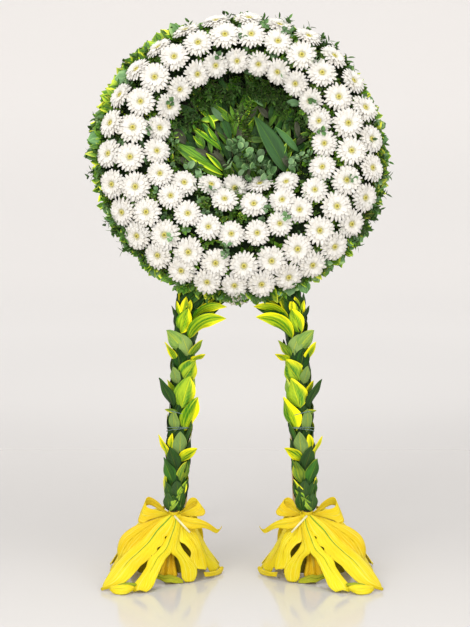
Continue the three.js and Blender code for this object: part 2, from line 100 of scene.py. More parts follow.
class GreenerySettings(bpy.types.PropertyGroup):
    """How much greenery fills the bed, its rim and its hole."""

    bed_sprigs: amount("Bed sprigs", "Sprigs between the flowers", 1300)
    rim_sprigs: amount("Rim sprigs", "Sprigs round the edge", 1100)
    rim_leaves: amount("Rim leaves", "Broad leaves round the edge", 760)
    laid_sprigs: amount("Laid sprigs", "Eucalyptus laid over the flowers", 26)
    centre_leaves: amount("Centre leaves", "Small leaves in the hole", 230)
    ruscus_sprigs: amount("Ruscus sprigs", "Sprigs that hang into the hole", 125)


class LegSettings(bpy.types.PropertyGroup):
    """The leaves that sheathe each leg."""

    first: metres("First", "Lowest leaf, up the post", 0.222)
    last: metres("Last", "Highest leaf, up the post", 0.92)
    pitch: metres("Pitch", "Rise from leaf to leaf", 0.0085)
    length: metres("Length", "A leaf's length", 0.115)
    half_width: metres("Half width", "A leaf's", 0.024)
    sleeve: metres("Sleeve", "Radius at a leaf's base", 0.0345)


class StudioSettings(bpy.types.PropertyGroup):
    """The camera, and the colour of the pale ground."""

    distance: metres("Distance", "Camera to the posts", 5.0)
    aside: metres("Aside", "Camera to the left", 0.0195)
    height: metres("Height", "Camera above the floor", 1.44)
    aim: metres("Aim", "Height that it looks at", 0.918)
    lens: FloatProperty(name="Lens", description="Focal length", default=84.4, unit="CAMERA")
    ground: FloatVectorProperty(
        name="Ground", description="Floor and backdrop", default=(0.83, 0.81, 0.795), subtype="COLOR"
    )


SETTINGS = {
    "wreath_stand": StandSettings,
    "wreath_flowers": FlowerSettings,
    "wreath_greenery": GreenerySettings,
    "wreath_legs": LegSettings,
    "wreath_studio": StudioSettings,
}


# ---------------------------------------------------------------- shader sums
class Signal:
    """What a shader node puts out. Signals add and multiply, so a material reads as a formula."""

    def __init__(self, recipe, output):
        self.recipe = recipe
        self.output = output

    def sum(self, operation, *others):
        return self.recipe.add("ShaderNodeMath", enumerate((self, *others)), operation=operation)

    def __add__(self, other):
        return self.sum("ADD", other)

    def __sub__(self, other):
        return self.sum("SUBTRACT", other)

    def __mul__(self, other):
        return self.sum("MULTIPLY", other)

    def __rsub__(self, other):
        return (self * -1) + other

    def __pow__(self, other):
        return self.sum("POWER", other)

    __radd__ = __add__
    __rmul__ = __mul__

    def size(self):
        return self.sum("ABSOLUTE")

    def sine(self):
        return self.sum("SINE")

    def between(self, low, high):
        """0 below low, 1 above high, and smooth in between."""
        inputs = enumerate((self, low, high))
        return self.recipe.add("ShaderNodeMapRange", inputs, interpolation_type="SMOOTHSTEP")


def connect(value, socket):
    if isinstance(value, Signal):
        value.recipe.tree.links.new(value.output, socket)
    else:
        socket.default_value = (*value, 1) if socket.type == "RGBA" and len(value) == 3 else value


class Recipe:
    """A material in the making, with the few kinds of node that the wreath's surfaces need."""

    def __init__(self, name):
        self.material = bpy.data.materials.new(name)
        self.material.use_nodes = True
        self.tree = self.material.node_tree
        self.shader = self.tree.nodes["Principled BSDF"]
        self.body = (1, 1, 1)

    def add(self, kind, inputs=(), output=0, **settings):
        """A node of a kind, with its settings and with values or signals on its sockets."""
        node = self.tree.nodes.new(kind)
        for key, value in settings.items():
            setattr(node, key, value)
        for key, value in dict(inputs).items():
            connect(value, node.inputs[key])
        return Signal(self, node.outputs[output])

    def split(self, vector):
        first = self.add("ShaderNodeSeparateXYZ", {0: vector})
        return [Signal(self, output) for output in first.output.node.outputs]

    def place(self, stretch=(1, 1, 1), turn=(0, 0, 0)):
        """The point on the object, stretched and turned."""
        point = self.add("ShaderNodeTexCoord", output="Object")
        return self.add("ShaderNodeMapping", {"Vector": point, "Rotation": turn, "Scale": stretch})

    def join(self, x, y, z):
        return self.add("ShaderNodeCombineXYZ", {0: x, 1: y, 2: z})

    def leaf_place(self):
        """Across the leaf from -1 to 1, and along it from 0 to 1."""
        across, along, _ = self.split(self.add("ShaderNodeTexCoord", output="UV"))
        return across * 2 - 1, along

    def tint(self):
        return self.split(self.add("ShaderNodeAttribute", output="Color", attribute_name="tint"))

    def noise(self, scale, detail=2.0, vector=None, roughness=0.5):
        inputs = {"Vector": vector or self.place(), "Scale": scale, "Detail": detail, "Roughness": roughness}
        return self.add("ShaderNodeTexNoise", inputs, "Fac")

    def mix(self, share, first, second):
        return self.add("ShaderNodeMix", {0: share, 6: first, 7: second}, 2, data_type="RGBA")

    def scale_colour(self, colour, share):
        """The colour made darker or lighter by a share."""
        return self.add("ShaderNodeVectorMath", {0: colour, "Scale": share}, operation="SCALE")

    def coat(self, share, colour):
        """Lays a colour over the body, where share is 1."""
        self.body = self.mix(share, self.body, colour)

    def shade(self, share):
        """Makes the body darker or lighter by a share."""
        self.body = self.scale_colour(self.body, share)

    def bump(self, height, distance):
        return self.add("ShaderNodeBump", {"Height": height, "Distance": distance})

    def finish(self, roughness, bump=None, **constants):
        inputs = {"Base Color": self.body, "Roughness": roughness}
        if bump:
            inputs["Normal"] = bump
        inputs.update((key.replace("_", " "), value) for key, value in constants.items())
        for key, value in inputs.items():
            connect(value, self.shader.inputs[key])
        return self.material


# ---------------------------------------------------------------- materials
def petal_material():
    """A white ray petal: cream at its base, with fine ribs along it."""
    recipe = Recipe("gerbera_petal")
    across, along = recipe.leaf_place()
    warmth, shade, _ = recipe.tint()
    ribs = (across * 9.5).sine()
    recipe.body = recipe.mix(warmth, (0.97, 0.95, 0.90), (0.96, 0.92, 0.84))
    recipe.coat(1 - along.between(0.0, 0.36), (0.86, 0.82, 0.42))
    recipe.coat(ribs.between(0.2, 1.0) * 0.16, (0.82, 0.77, 0.68))
    recipe.shade(shade * 0.12 + 0.89)
    bump = recipe.bump(ribs, 0.0004)
    return recipe.finish(0.55, bump, Specular_IOR_Level=0.3)


def disc_material():
    """The yellow middle of a gerbera, made of many small florets, darker at the very centre."""
    recipe = Recipe("gerbera_disc")
    _, along = recipe.leaf_place()
    florets = recipe.noise(900, 2)
    recipe.body = recipe.mix(florets.between(0.35, 0.65), (0.52, 0.45, 0.06), (0.84, 0.77, 0.22))
    recipe.coat(1 - along.between(0.15, 0.55), (0.24, 0.20, 0.02))
    return recipe.finish(0.7, recipe.bump(florets, 0.0015), Specular_IOR_Level=0.25)


def leaf_material(name, deep, light, gold=(0.72, 0.70, 0.01), bloom=(0.20, 0.30, 0.14), gloss=0.34, vein=42):
    """A waxy leaf. Its tint says how much of it is gold, how pale its bloom and how light it is."""
    recipe = Recipe(name)
    across, along = recipe.leaf_place()
    gilt, powder, shade = recipe.tint()
    edge = across.size()
    lean = (gilt * 41).sine()
    drawn_out = recipe.join(across * 2.4 + gilt * 31, along * 0.9 - edge * 0.5, shade * 17)
    streaks = recipe.noise(1.5, 3, drawn_out)
    fine = recipe.noise(240, 2)
    veins = ((along - edge * 0.35) * vein).sine()
    recipe.body = recipe.mix(streaks.between(0.35, 0.65), deep, light)
    recipe.coat(veins.between(0.3, 1.0) * 0.22, light)
    margin = edge * 0.36 + across * lean * 0.4 + along**3 * 0.36 + streaks * 0.5 + gilt * 0.68
    recipe.coat(margin.between(0.9, 1.3), gold)
    recipe.coat(powder, bloom)
    midrib = 1 - edge.between(0.015, 0.07)
    recipe.coat(midrib * 0.35, gold)
    # Painted shade: one half of each leaf is painted lighter than the other, as if folded and lit from one
    # side, and its base is painted darker.
    fold = across.between(-0.3, 0.3) * lean * 0.34 + along.between(0.0, 0.45) * 0.22
    recipe.shade(shade * 0.72 + 0.16 + fine * 0.15 + fold)
    height = veins * 0.35 - midrib * 1.6 + fine * 0.5
    rough = fine * 0.2 + gloss - 0.04 + powder * 0.3
    return recipe.finish(rough, recipe.bump(height, 0.0006), Specular_IOR_Level=0.16)


def yellow_leaf_material():
    """A leaf sprayed yellow, with green left along its midrib, and amber where its tint asks, as painted
    shade.
    """
    recipe = Recipe("yellow_leaf")
    across, along = recipe.leaf_place()
    green, amber_shade, shade = recipe.tint()
    edge = across.size()
    blotch = recipe.noise(14, 3)
    fine = recipe.noise(160, 2)
    ribs = (along * 60 - edge * 26).sine()
    recipe.body = recipe.mix(blotch.between(0.35, 0.7), (0.95, 0.82, 0.012), (0.94, 0.73, 0.005))
    # Painted shade: amber, as much as the second tint asks, on hollows, inner faces and the lobes behind.
    recipe.coat(amber_shade * (blotch * 0.8 + 0.4), (0.86, 0.47, 0.002))
    recipe.coat(ribs.between(0.0, 1.0) * 0.10, (0.97, 0.88, 0.10))
    # Painted highlights and painted shade: pale streaks stand in for light on the ridges, amber streaks for
    # the shade between them.
    painted_light_streaks = recipe.noise(2.2, 3, recipe.join(across * 2.2 + shade * 19, along * 0.9, amber_shade * 7))
    recipe.coat(painted_light_streaks.between(0.5, 0.7) * 0.42, (0.98, 0.90, 0.16))
    recipe.coat((1 - painted_light_streaks.between(0.34, 0.48)) * 0.34, (0.90, 0.62, 0.003))
    thin = edge + fine * 0.03 - (1 - along.between(0.0, 0.5)) * 0.06
    midrib = (1 - thin.between(0.02, 0.07)) * (1 - along.between(0.55, 0.9))
    recipe.coat(midrib * green + green.between(1, 2) * (blotch * 0.6 + 0.6), (0.22, 0.42, 0.02))
    recipe.shade(shade * 0.33 + 0.64)
    height = ribs * 0.5 - midrib * 2 + fine * 0.3
    return recipe.finish(fine * 0.15 + 0.4, recipe.bump(height, 0.0008), Specular_IOR_Level=0.22)


def grained_material(name, scale, first, second, roughness, depth):
    """One colour that runs into another in a fine grain."""
    recipe = Recipe(name)
    grain = recipe.noise(scale, 3)
    recipe.body = recipe.mix(grain, first, second)
    return recipe.finish(roughness, recipe.bump(grain, depth))


def twine_material():
    """Waxed twine: two strands laid round each other."""
    recipe = Recipe("waxed_twine")
    across, _, along = recipe.split(recipe.place())
    strands = (along * 1500 + across * 900).sine()
    recipe.body = recipe.mix(strands.between(-1, 1), (0.05, 0.12, 0.10), (0.26, 0.40, 0.36))
    return recipe.finish(0.6, recipe.bump(strands, 0.0006), Sheen_Weight=0.2)


def moss_material():
    """The damp moss and foam that the stalks are pushed into."""
    recipe = Recipe("moss_foam")
    tufts = recipe.noise(75, 6, roughness=0.7)
    specks = recipe.noise(420, 3)
    recipe.body = recipe.mix(tufts.between(0.35, 0.7), (0.004, 0.010, 0.003), (0.020, 0.045, 0.010))
    recipe.coat(specks.between(0.6, 0.75) * 0.5, (0.05, 0.07, 0.02))
    return recipe.finish(0.9, recipe.bump(tufts + specks * 0.4, 0.006), Specular_IOR_Level=0.2)


def timber_material(name, turn, light=(0.62, 0.45, 0.25), dark=(0.38, 0.24, 0.11)):
    """Planed softwood: growth rings drawn out along the timber, with a few knots."""
    recipe = Recipe(name)
    stretched = recipe.place((26, 26, 1.6), turn)
    rings = recipe.noise(1.0, 3, stretched)
    bands = ((rings * 34).sine() * 0.5 + 0.5) ** 2
    fibres = recipe.noise(1.0, 4, recipe.place((420, 420, 14), turn))
    knots = 1 - recipe.noise(1.0, 1, recipe.place((15, 15, 7), turn)).between(0.19, 0.27)
    recipe.body = recipe.mix(bands * 0.55, light, dark)
    recipe.coat(fibres.between(0.45, 0.8) * 0.35, dark)
    recipe.coat(knots, (0.16, 0.08, 0.03))
    return recipe.finish(fibres * 0.2 + 0.5, recipe.bump(fibres + bands * 0.4, 0.0005))


def steel_material():
    recipe = Recipe("zinc_screw")
    wear = recipe.noise(700, 3)
    recipe.body = recipe.mix(wear, (0.55, 0.54, 0.50), (0.36, 0.35, 0.33))
    return recipe.finish(wear * 0.2 + 0.3, recipe.bump(wear, 0.0002), Metallic=1.0)


def floor_material(ground):
    """The pale, softly shining ground."""
    recipe = Recipe("studio_ground")
    cloud = recipe.noise(0.8, 2)
    right, back, up = recipe.split(recipe.place())
    # Painted light: it glows faintly with distance. The wall glows less and is painted lighter, so that both
    # look alike.
    away = (right * right + back * back) ** 0.5
    glow = away.between(1.2, 4.6) * 0.06 + away.between(3.0, 7.5) * 0.155 - up.between(0.0, 0.3) * 0.13
    glow = recipe.scale_colour((1.0, 0.975, 0.955), glow)
    # Painted light and shade: lighter in front, darker round the stand, and lighter far back and up the wall.
    light = 0.79 - back.between(-0.9, 0.5) * 0.115 + back.between(0.6, 3.6) * 0.185
    light += up.between(0.0, 0.3) * 0.21 + up.between(0.9, 2.2) * 0.06
    recipe.body = recipe.mix(cloud * 0.3, tuple(ground), tuple(value * 0.97 for value in ground))
    recipe.shade(light)
    rough = back.between(1.2, 3.6) * 0.6 + 0.13
    return recipe.finish(rough, Specular_IOR_Level=0.5, Emission_Color=glow, Emission_Strength=1.0)


# ---------------------------------------------------------------- shapes
def pointed(share, fullness=0.8):
    """Half the width of a pointed leaf, as a share of its widest."""
    return max(0.03, math.sin(math.pi * min(share, 0.999) ** 0.85) ** fullness)


def rounded(share):
    """The same for a round leaf."""
    return max(0.06, math.sqrt(max(0.0, 1 - (2 * share - 1.0) ** 2)))


def petal_outline(share):
    """The same for a ray petal: narrow at its base, widest near its tip."""
    return 0.35 + 0.65 * math.sin(min(1.0, share / 0.7) * math.pi / 2) - 0.62 * max(0.0, share - 0.78) / 0.22


class Sheaf:
    """Leaves and petals gathered into one mesh, each with a tint of its own."""

    def __init__(self):
        self.bm = bmesh.new()
        self.bm.loops.layers.uv.new("UVMap")
        self.tints = self.bm.verts.layers.float_color.new("tint")

    def blade(self, across, along, place, tint=(0, 0, 0.5), material=0):
        """A grid put in place by place(side, share): side is -1 to 1 and share 0 to 1."""
        grid = {"x_segments": across, "y_segments": along, "size": 1, "calc_uvs": True}
        verts = bmesh.ops.create_grid(self.bm, **grid)["verts"]
        for vert in verts:
            vert.co = place(vert.co.x, (vert.co.y + 1) / 2)
        return self.paint(verts, tint, material)

    def rod(self, start, end, radius, tip_radius=None, sides=5, tint=(0, 0, 0.5), material=0):
        """A round rod from one point to another."""
        axis = end - start
        cone = {"segments": sides, "radius1": radius, "radius2": tip_radius or radius, "depth": axis.length}
        matrix = aim_matrix((start + end) / 2, axis)
        made = bmesh.ops.create_cone(self.bm, cap_ends=True, matrix=matrix, calc_uvs=True, **cone)
        return self.paint(made["verts"], tint, material)

    def close(self, verts):
        """Joins the edges of a sheet that has been bent round to meet itself."""
        bmesh.ops.remove_doubles(self.bm, verts=verts, dist=1e-6)

    def paint(self, verts, tint, material):
        for vert in verts:
            vert[self.tints] = (*tint, 1)
            for face in vert.link_faces:
                face.smooth = True
                face.material_index = material
        return verts

    def paste(self, mesh, matrix, tint=None):
        """A copy of a mesh, moved by a matrix."""
        first = len(self.bm.verts)
        self.bm.from_mesh(mesh)
        self.bm.verts.ensure_lookup_table()
        for index in range(first, len(self.bm.verts)):
            vert = self.bm.verts[index]
            vert.co = matrix @ vert.co
            if tint:
                vert[self.tints] = (*tint, 1)

    def mesh(self, name, materials=()):
        mesh = bpy.data.meshes.new(name)
        self.bm.to_mesh(mesh)
        self.bm.free()
        for material in materials:
            mesh.materials.append(material)
        return mesh

    def piece(self, name, materials, slot, replaced=()):
        """Finishes the sheaf as a piece of the object, in place of the CAD nodes that it stands for."""
        piece = bpy.data.objects.new(name, self.mesh(name, materials))
        bpy.context.scene.collection.objects.link(piece)
        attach(piece, "root")
        if replaced:
            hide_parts(*replaced)
        return piece


def leaf_form(start, along, normal, length, half_width, droop=0.15, cup=0.12, outline=pointed, wave=0.0):
    """place() for a free leaf: it droops away from its normal, and folds up along its midrib."""
    along = along.normalized()
    right = along.cross(normal).normalized()
    normal = right.cross(along)

    def place(side, share):
        half = half_width * outline(share)
        ripple = wave * half * math.sin(9 * share + 3 * side)
        rise = cup * abs(side) * half - droop * length * share**2 + ripple
        return start + along * length * share * (1 - 0.3 * droop) + right * side * half + normal * rise

    return place


def curve_point(points, share):
    """A point on the smooth line through points, and the direction there (Catmull-Rom)."""
    last = len(points) - 1
    at = min(share, 0.9999) * last
    index = int(at)
    t = at - index
    b, c = points[index], points[index + 1]
    a = points[index - 1] if index else b * 2 - c
    d = points[index + 2] if index + 2 <= last else c * 2 - b
    spot = (b * 2 + (c - a) * t + (a * 2 - b * 5 + c * 4 - d) * t**2 + (b * 3 - a - c * 3 + d) * t**3) / 2
    way = ((c - a) + (a * 2 - b * 5 + c * 4 - d) * (2 * t) + (b * 3 - a - c * 3 + d) * (3 * t**2)) / 2
    return spot, way.normalized()


# ---------------------------------------------------------------- where things stand
class Stand:
    """Places on the leaning face, on the bed of flowers and on the legs."""

    def __init__(self, settings):
        self.s = settings
        foot = Matrix.Translation((0, settings.foot_y, 0))
        self.face = foot @ Matrix.Rotation(-settings.lean, 4, "X")
        self.turn = self.face.to_3x3()

    def leg(self, outward):
        """The matrix of a leg: its z runs up the post's middle."""
        shift = Matrix.Translation((outward * self.s.foot_x, 0, 0))
        return self.face @ shift @ Matrix.Rotation(-outward * self.s.toe_in, 4, "Y")

    def point(self, x, z, height):
        """A point on the face: x across, z up from the ring's centre, height above the board."""
        return self.face @ Vector((x, -self.s.bed_back - height, self.s.ring_height + z))

    def way(self, x, z, out):
        """A direction on the face."""
        return (self.turn @ Vector((x, -out, z))).normalized()

    def fan(self, angle, out):
        """A direction on the face, by its angle from straight up."""
        return self.way(math.sin(angle), math.cos(angle), out)

    def share(self, x, z):
        """How far across the bed a point lies: 0 at the hole and 1 at the rim."""
        s = self.s
        from_hole = (math.hypot(x / s.hole_x, (z - s.hole_rise) / s.hole_z) - 1) * (s.hole_x + s.hole_z) / 2
        to_rim = s.ring_outer - math.hypot(x, z)
        return max(0.02, min(0.98, from_hole / (from_hole + to_rim)))

    def height(self, x, z):
        share = self.share(x, z)
        return self.s.bed_depth * math.sqrt(4 * share * (1 - share))

    def normal(self, x, z, greatest):
        """The direction that a flower faces there."""
        step = 0.004
        slope_x = (self.height(x + step, z) - self.height(x - step, z)) / (2 * step)
        slope_z = (self.height(x, z + step) - self.height(x, z - step)) / (2 * step)
        steep = math.hypot(slope_x, slope_z) or 1e-6
        tilt = min(math.atan(steep), greatest)
        return self.way(-slope_x * math.sin(tilt) / steep, -slope_z * math.sin(tilt) / steep, math.cos(tilt))

    def hole_edge(self, angle):
        """How far the hole's edge is from the ring's centre, in a direction."""
        s = self.s
        sine, cosine = math.sin(angle), math.cos(angle)
        a = (sine / s.hole_x) ** 2 + (cosine / s.hole_z) ** 2
        b = -2 * cosine * s.hole_rise / s.hole_z**2
        c = (s.hole_rise / s.hole_z) ** 2 - 1
        return (-b + math.sqrt(b * b - 4 * a * c)) / (2 * a)

    def bed_spot(self, angle, share):
        """The point that lies that far across the bed, in a direction from the centre."""
        reach = self.hole_edge(angle) * (1 - share) + self.s.ring_outer * share
        return reach * math.sin(angle), reach * math.cos(angle)


def stand():
    return Stand(bpy.context.scene.wreath_stand)


def any_way(rng):
    """A random step, of up to 1 along each axis."""
    return Vector([rng.uniform(-1, 1) for _ in range(3)])


def aim_matrix(place, direction, spin=0.0, size=1.0):
    """A matrix that turns +Z to a direction, after a spin about it."""
    turn = Vector((0, 0, 1)).rotation_difference(direction).to_matrix().to_4x4()
    return Matrix.Translation(place) @ turn @ Matrix.Rotation(spin, 4, "Z") @ Matrix.Scale(size, 4)


# ---------------------------------------------------------------- gerberas
# Three whorls of ray petals, from the outside in: how many, how far out they reach in mm, how high
# the base stands, and how far a petal rises and droops.
WHORLS = [(21, 54, 0, 5, 9), (19, 49, 2, 10, 9), (16, 36, 3.5, 13, 8)]
# Two rings of quills round the disc: their radius and length in mm, and how many.
QUILLS = [(10, 5, 26), (8, 3.6, 22)]
PETAL_START = 8
DISC_RADIUS, DISC_HEIGHT, DIMPLE = 10.5 * MM, 3.6 * MM, 2.2 * MM


def gerbera_head(rng, petal_width):
    """One gerbera that faces +Z, with the middle of its rim at the origin."""
    sheaf = Sheaf()
    for count, radius, base, rise, droop in WHORLS:
        offset = rng.random()
        for index in range(count):
            turn = Matrix.Rotation((index + offset + rng.uniform(-0.2, 0.2)) * math.tau / count, 3, "Z")
            long = radius * rng.uniform(0.9, 1.02) - PETAL_START
            roll, bend = rng.uniform(-0.35, 0.35), rng.uniform(-1.6, 1.6)
            sag, notch = rng.uniform(0.75, 1.25), rng.uniform(0.0, 1.4)
            half = petal_width * rng.uniform(0.42, 0.54)

            def petal(side, share):
                reach = PETAL_START + long * share - notch * (1 - abs(side)) * max(0.0, share - 0.8) * 5
                width = half * petal_outline(share)
                lift = base + rise * share - droop * sag * share**2
                lift += roll * side * width / MM * share + 0.9 * side**2
                return turn @ Vector((reach * MM, bend * MM * share**2 - side * width, lift * MM))

            sheaf.blade(2, 5, petal, (rng.random(), rng.random(), 0.5), 0)
    for ring, (radius, long, count) in enumerate(QUILLS):
        for index in range(count):
            turn = Matrix.Rotation((index + rng.uniform(-0.3, 0.3)) * math.tau / count, 3, "Z")

            def quill(side, share):
                grown = long * share * 0.7
                out, up = radius - 1 + grown, 3.5 + ring * 1.2 + grown
                return turn @ Vector((out * MM, -side * 0.75 * MM * (1 - 0.6 * share), up * MM))

            sheaf.blade(1, 2, quill, (0.8, 0.9, 0.5), 0)

    def dome(side, share):
        angle = -math.pi * side
        height = DISC_HEIGHT * (1 - share**2) - DIMPLE * max(0.0, 1 - share / 0.42)
        reach = DISC_RADIUS * share
        return Vector((reach * math.cos(angle), reach * math.sin(angle), 3.4 * MM + height))

    sheaf.close(sheaf.blade(16, 6, dome, (0, 0, 0.5), 1))
    green = {"tint": (0, 0.1, 0.4), "material": 2}
    cup = sheaf.rod(Vector((0, 0, -0.014)), Vector((0, 0, 0.001)), 0.006, 0.016, 10, **green)
    for vert in cup:
        vert.co.z = min(vert.co.z, 0.0005)
    sheaf.rod(Vector((0, 0, -0.03)), Vector((0, 0, -0.013)), 0.003, sides=6, **green)
    return sheaf.mesh("gerbera_head")


# The rows as the frame has them, ellipses about the ring: how many flowers, half the width and
# height, the middle's rise, the first flower in degrees, how they crowd, and the arcs.
ROWS = {
    "outer": (28, 0.453, 0.468, 0.007, -9.8, 0.084, 4),
    "crest": (25, 0.386, 0.411, 0.006, -8.7, -0.012, 3),
    "inner": (23, 0.304, 0.322, 0.020, -2.4, -0.044, 2),
}
# The short rows: how many flowers, from and to where across, their level and how far they stagger.
SHORT_ROWS = {"lip": (5, -0.205, 0.168, -0.124, 0.006), "middle": (3, -0.058, 0.152, -0.192, 0.008)}
ROW_SIZE = {"outer": 1.02, "crest": 1.07, "inner": 0.94, "lip": 0.95, "middle": 1.0}


def flower_rows():
    """Yields (row, suffix, spots) for every stretch of flowers in the frame."""
    for name, (count, half_width, half_height, rise, first, crowd, arcs) in ROWS.items():
        spots = []
        for index in range(count):
            even = math.radians(first + 360 * index / count)
            turn = even + crowd * math.sin(even)
            spots.append((half_width * math.sin(turn), rise + half_height * math.cos(turn)))
        per_arc = math.ceil(count / arcs)
        for arc in range(arcs):
            yield name, f"_{arc + 1}", spots[arc * per_arc : (arc + 1) * per_arc]
    for name, (count, start, end, level, wave) in SHORT_ROWS.items():
        step = (end - start) / (count - 1)
        yield name, "", [(start + i * step, level + (-wave if i % 2 else wave)) for i in range(count)]


class WREATH_OT_gerberas(bpy.types.Operator):
    """Sets the gerberas in their rows"""

    bl_idname = "wreath.gerberas"
    bl_label = "Gerberas"

    def execute(self, context):
        rng = random.Random(11)
        settings = context.scene.wreath_flowers
        where = stand()
        heads = [gerbera_head(rng, settings.petal_width) for _ in range(settings.sorts)]
        calyx = leaf_material("calyx", (0.10, 0.20, 0.05), (0.20, 0.34, 0.10))
        materials = [petal_material(), disc_material(), calyx]
        for row, suffix, spots in flower_rows():
            sheaf = Sheaf()
            for x, z in spots:
                normal = where.normal(x, z, settings.greatest_tilt)
                jitter = any_way(rng)
                lift = settings.lift + rng.uniform(-0.003, 0.004)
                place = where.point(x, z, where.height(x, z)) + normal * lift + jitter * 0.003
                outward = 0.15 if row == "outer" and x < 0 < z else 0.0
                facing = (normal + jitter * 0.07 + where.way(x, z, 0) * outward).normalized()
                size = ROW_SIZE[row] * rng.uniform(0.96, 1.03)
                spin = rng.uniform(0, math.tau)
                sheaf.paste(rng.choice(heads), aim_matrix(place, facing, spin, size))
            sheaf.piece(f"{row}_gerberas{suffix}", materials, "gerbera", [f"{row}_flowers{suffix}"])
        sheaf = Sheaf()
        low = where.point(-0.014, -0.505, 0.03)
        sheaf.paste(heads[0], aim_matrix(low, where.way(0.02, -0.75, 0.62), 0.4, 0.97))
        sheaf.piece("lowest_gerbera", materials, "gerbera")
        return {"FINISHED"}


# ---------------------------------------------------------------- sprigs of greenery
TWIG_RADII = (0.0011, 0.0005)


def sprig(rng, pairs, length, leaf_length, leaf_half, outline, spread, materials=(0, 1), grid=(2, 3)):
    """A twig that grows along +Z, with pairs of leaves. Materials are the leaf's and the twig's."""
    sheaf = Sheaf()
    sheaf.rod(Vector((0, 0, -0.008)), Vector((0, 0, length)), *TWIG_RADII, 4, material=materials[1])
    for index in range(pairs):
        share = (index + 0.7) / pairs
        base = Vector((0, 0, length * share))
        for half_turn in (0, math.pi):
            angle = half_turn + index * math.radians(80) + rng.uniform(-0.4, 0.4)
            out = Vector((math.cos(angle), math.sin(angle), 0))
            rise = spread + rng.uniform(-0.2, 0.3)
            along = (out + Vector((0, 0, rise))).normalized()
            normal = (Vector((0, 0, 1)) - out * rise * 0.8).normalized()
            size = rng.uniform(0.8, 1.15) * (1.1 - 0.35 * share)
            form = leaf_form(base, along, normal, leaf_length * size, leaf_half * size, 0.12, 0.25, outline)
            tint = (rng.random(), rng.random() * 0.5, rng.uniform(0.2, 1))
            sheaf.blade(*grid, form, tint, materials[0])
    return sheaf.mesh("sprig")


class Herbs:
    """The kinds of sprig, each in a few sorts, and the materials that they share."""

    def __init__(self, rng):
        self.materials = [
            leaf_material("box_leaf", (0.018, 0.09, 0.002), (0.13, 0.32, 0.008), gold=(0.46, 0.62, 0.02)),
            grained_material("twig", 300, (0.07, 0.10, 0.03), (0.16, 0.13, 0.06), 0.7, 0.0006),
            leaf_material(
                "eucalyptus_leaf", (0.055, 0.15, 0.040), (0.15, 0.31, 0.10),
                gold=(0.30, 0.46, 0.16), bloom=(0.36, 0.52, 0.31), gloss=0.5, vein=20,
            ),
            leaf_material("variegated_leaf", (0.05, 0.2, 0.008), (0.18, 0.42, 0.02), gold=(0.72, 0.76, 0.05)),
            leaf_material("ruscus_leaf", (0.003, 0.022, 0.001), (0.075, 0.26, 0.006), gold=(0.2, 0.42, 0.02)),
        ]
        self.sorts = {
            "box": [sprig(rng, 4, 0.032, 0.019, 0.0072, rounded, 0.6, (0, 1), (2, 2)) for _ in range(5)],
            "eucalyptus": [sprig(rng, 2, 0.026, 0.027, 0.0105, rounded, 0.6, (2, 1)) for _ in range(3)],
            "variegated": [sprig(rng, 2, 0.022, 0.042, 0.011, pointed, 0.9, (3, 1)) for _ in range(3)],
            "ruscus": [sprig(rng, 4, 0.06, 0.034, 0.0070, pointed, 0.9, (4, 1)) for _ in range(3)],
        }

    def plant(self, sheaf, rng, kind, place, direction, size, gold=0.5):
        tint = (rng.random() * gold, rng.random() * 0.4, rng.uniform(0.1, 1.0))
        mesh = rng.choice(self.sorts[kind])
        sheaf.paste(mesh, aim_matrix(place, direction, rng.uniform(0, math.tau), size), tint)


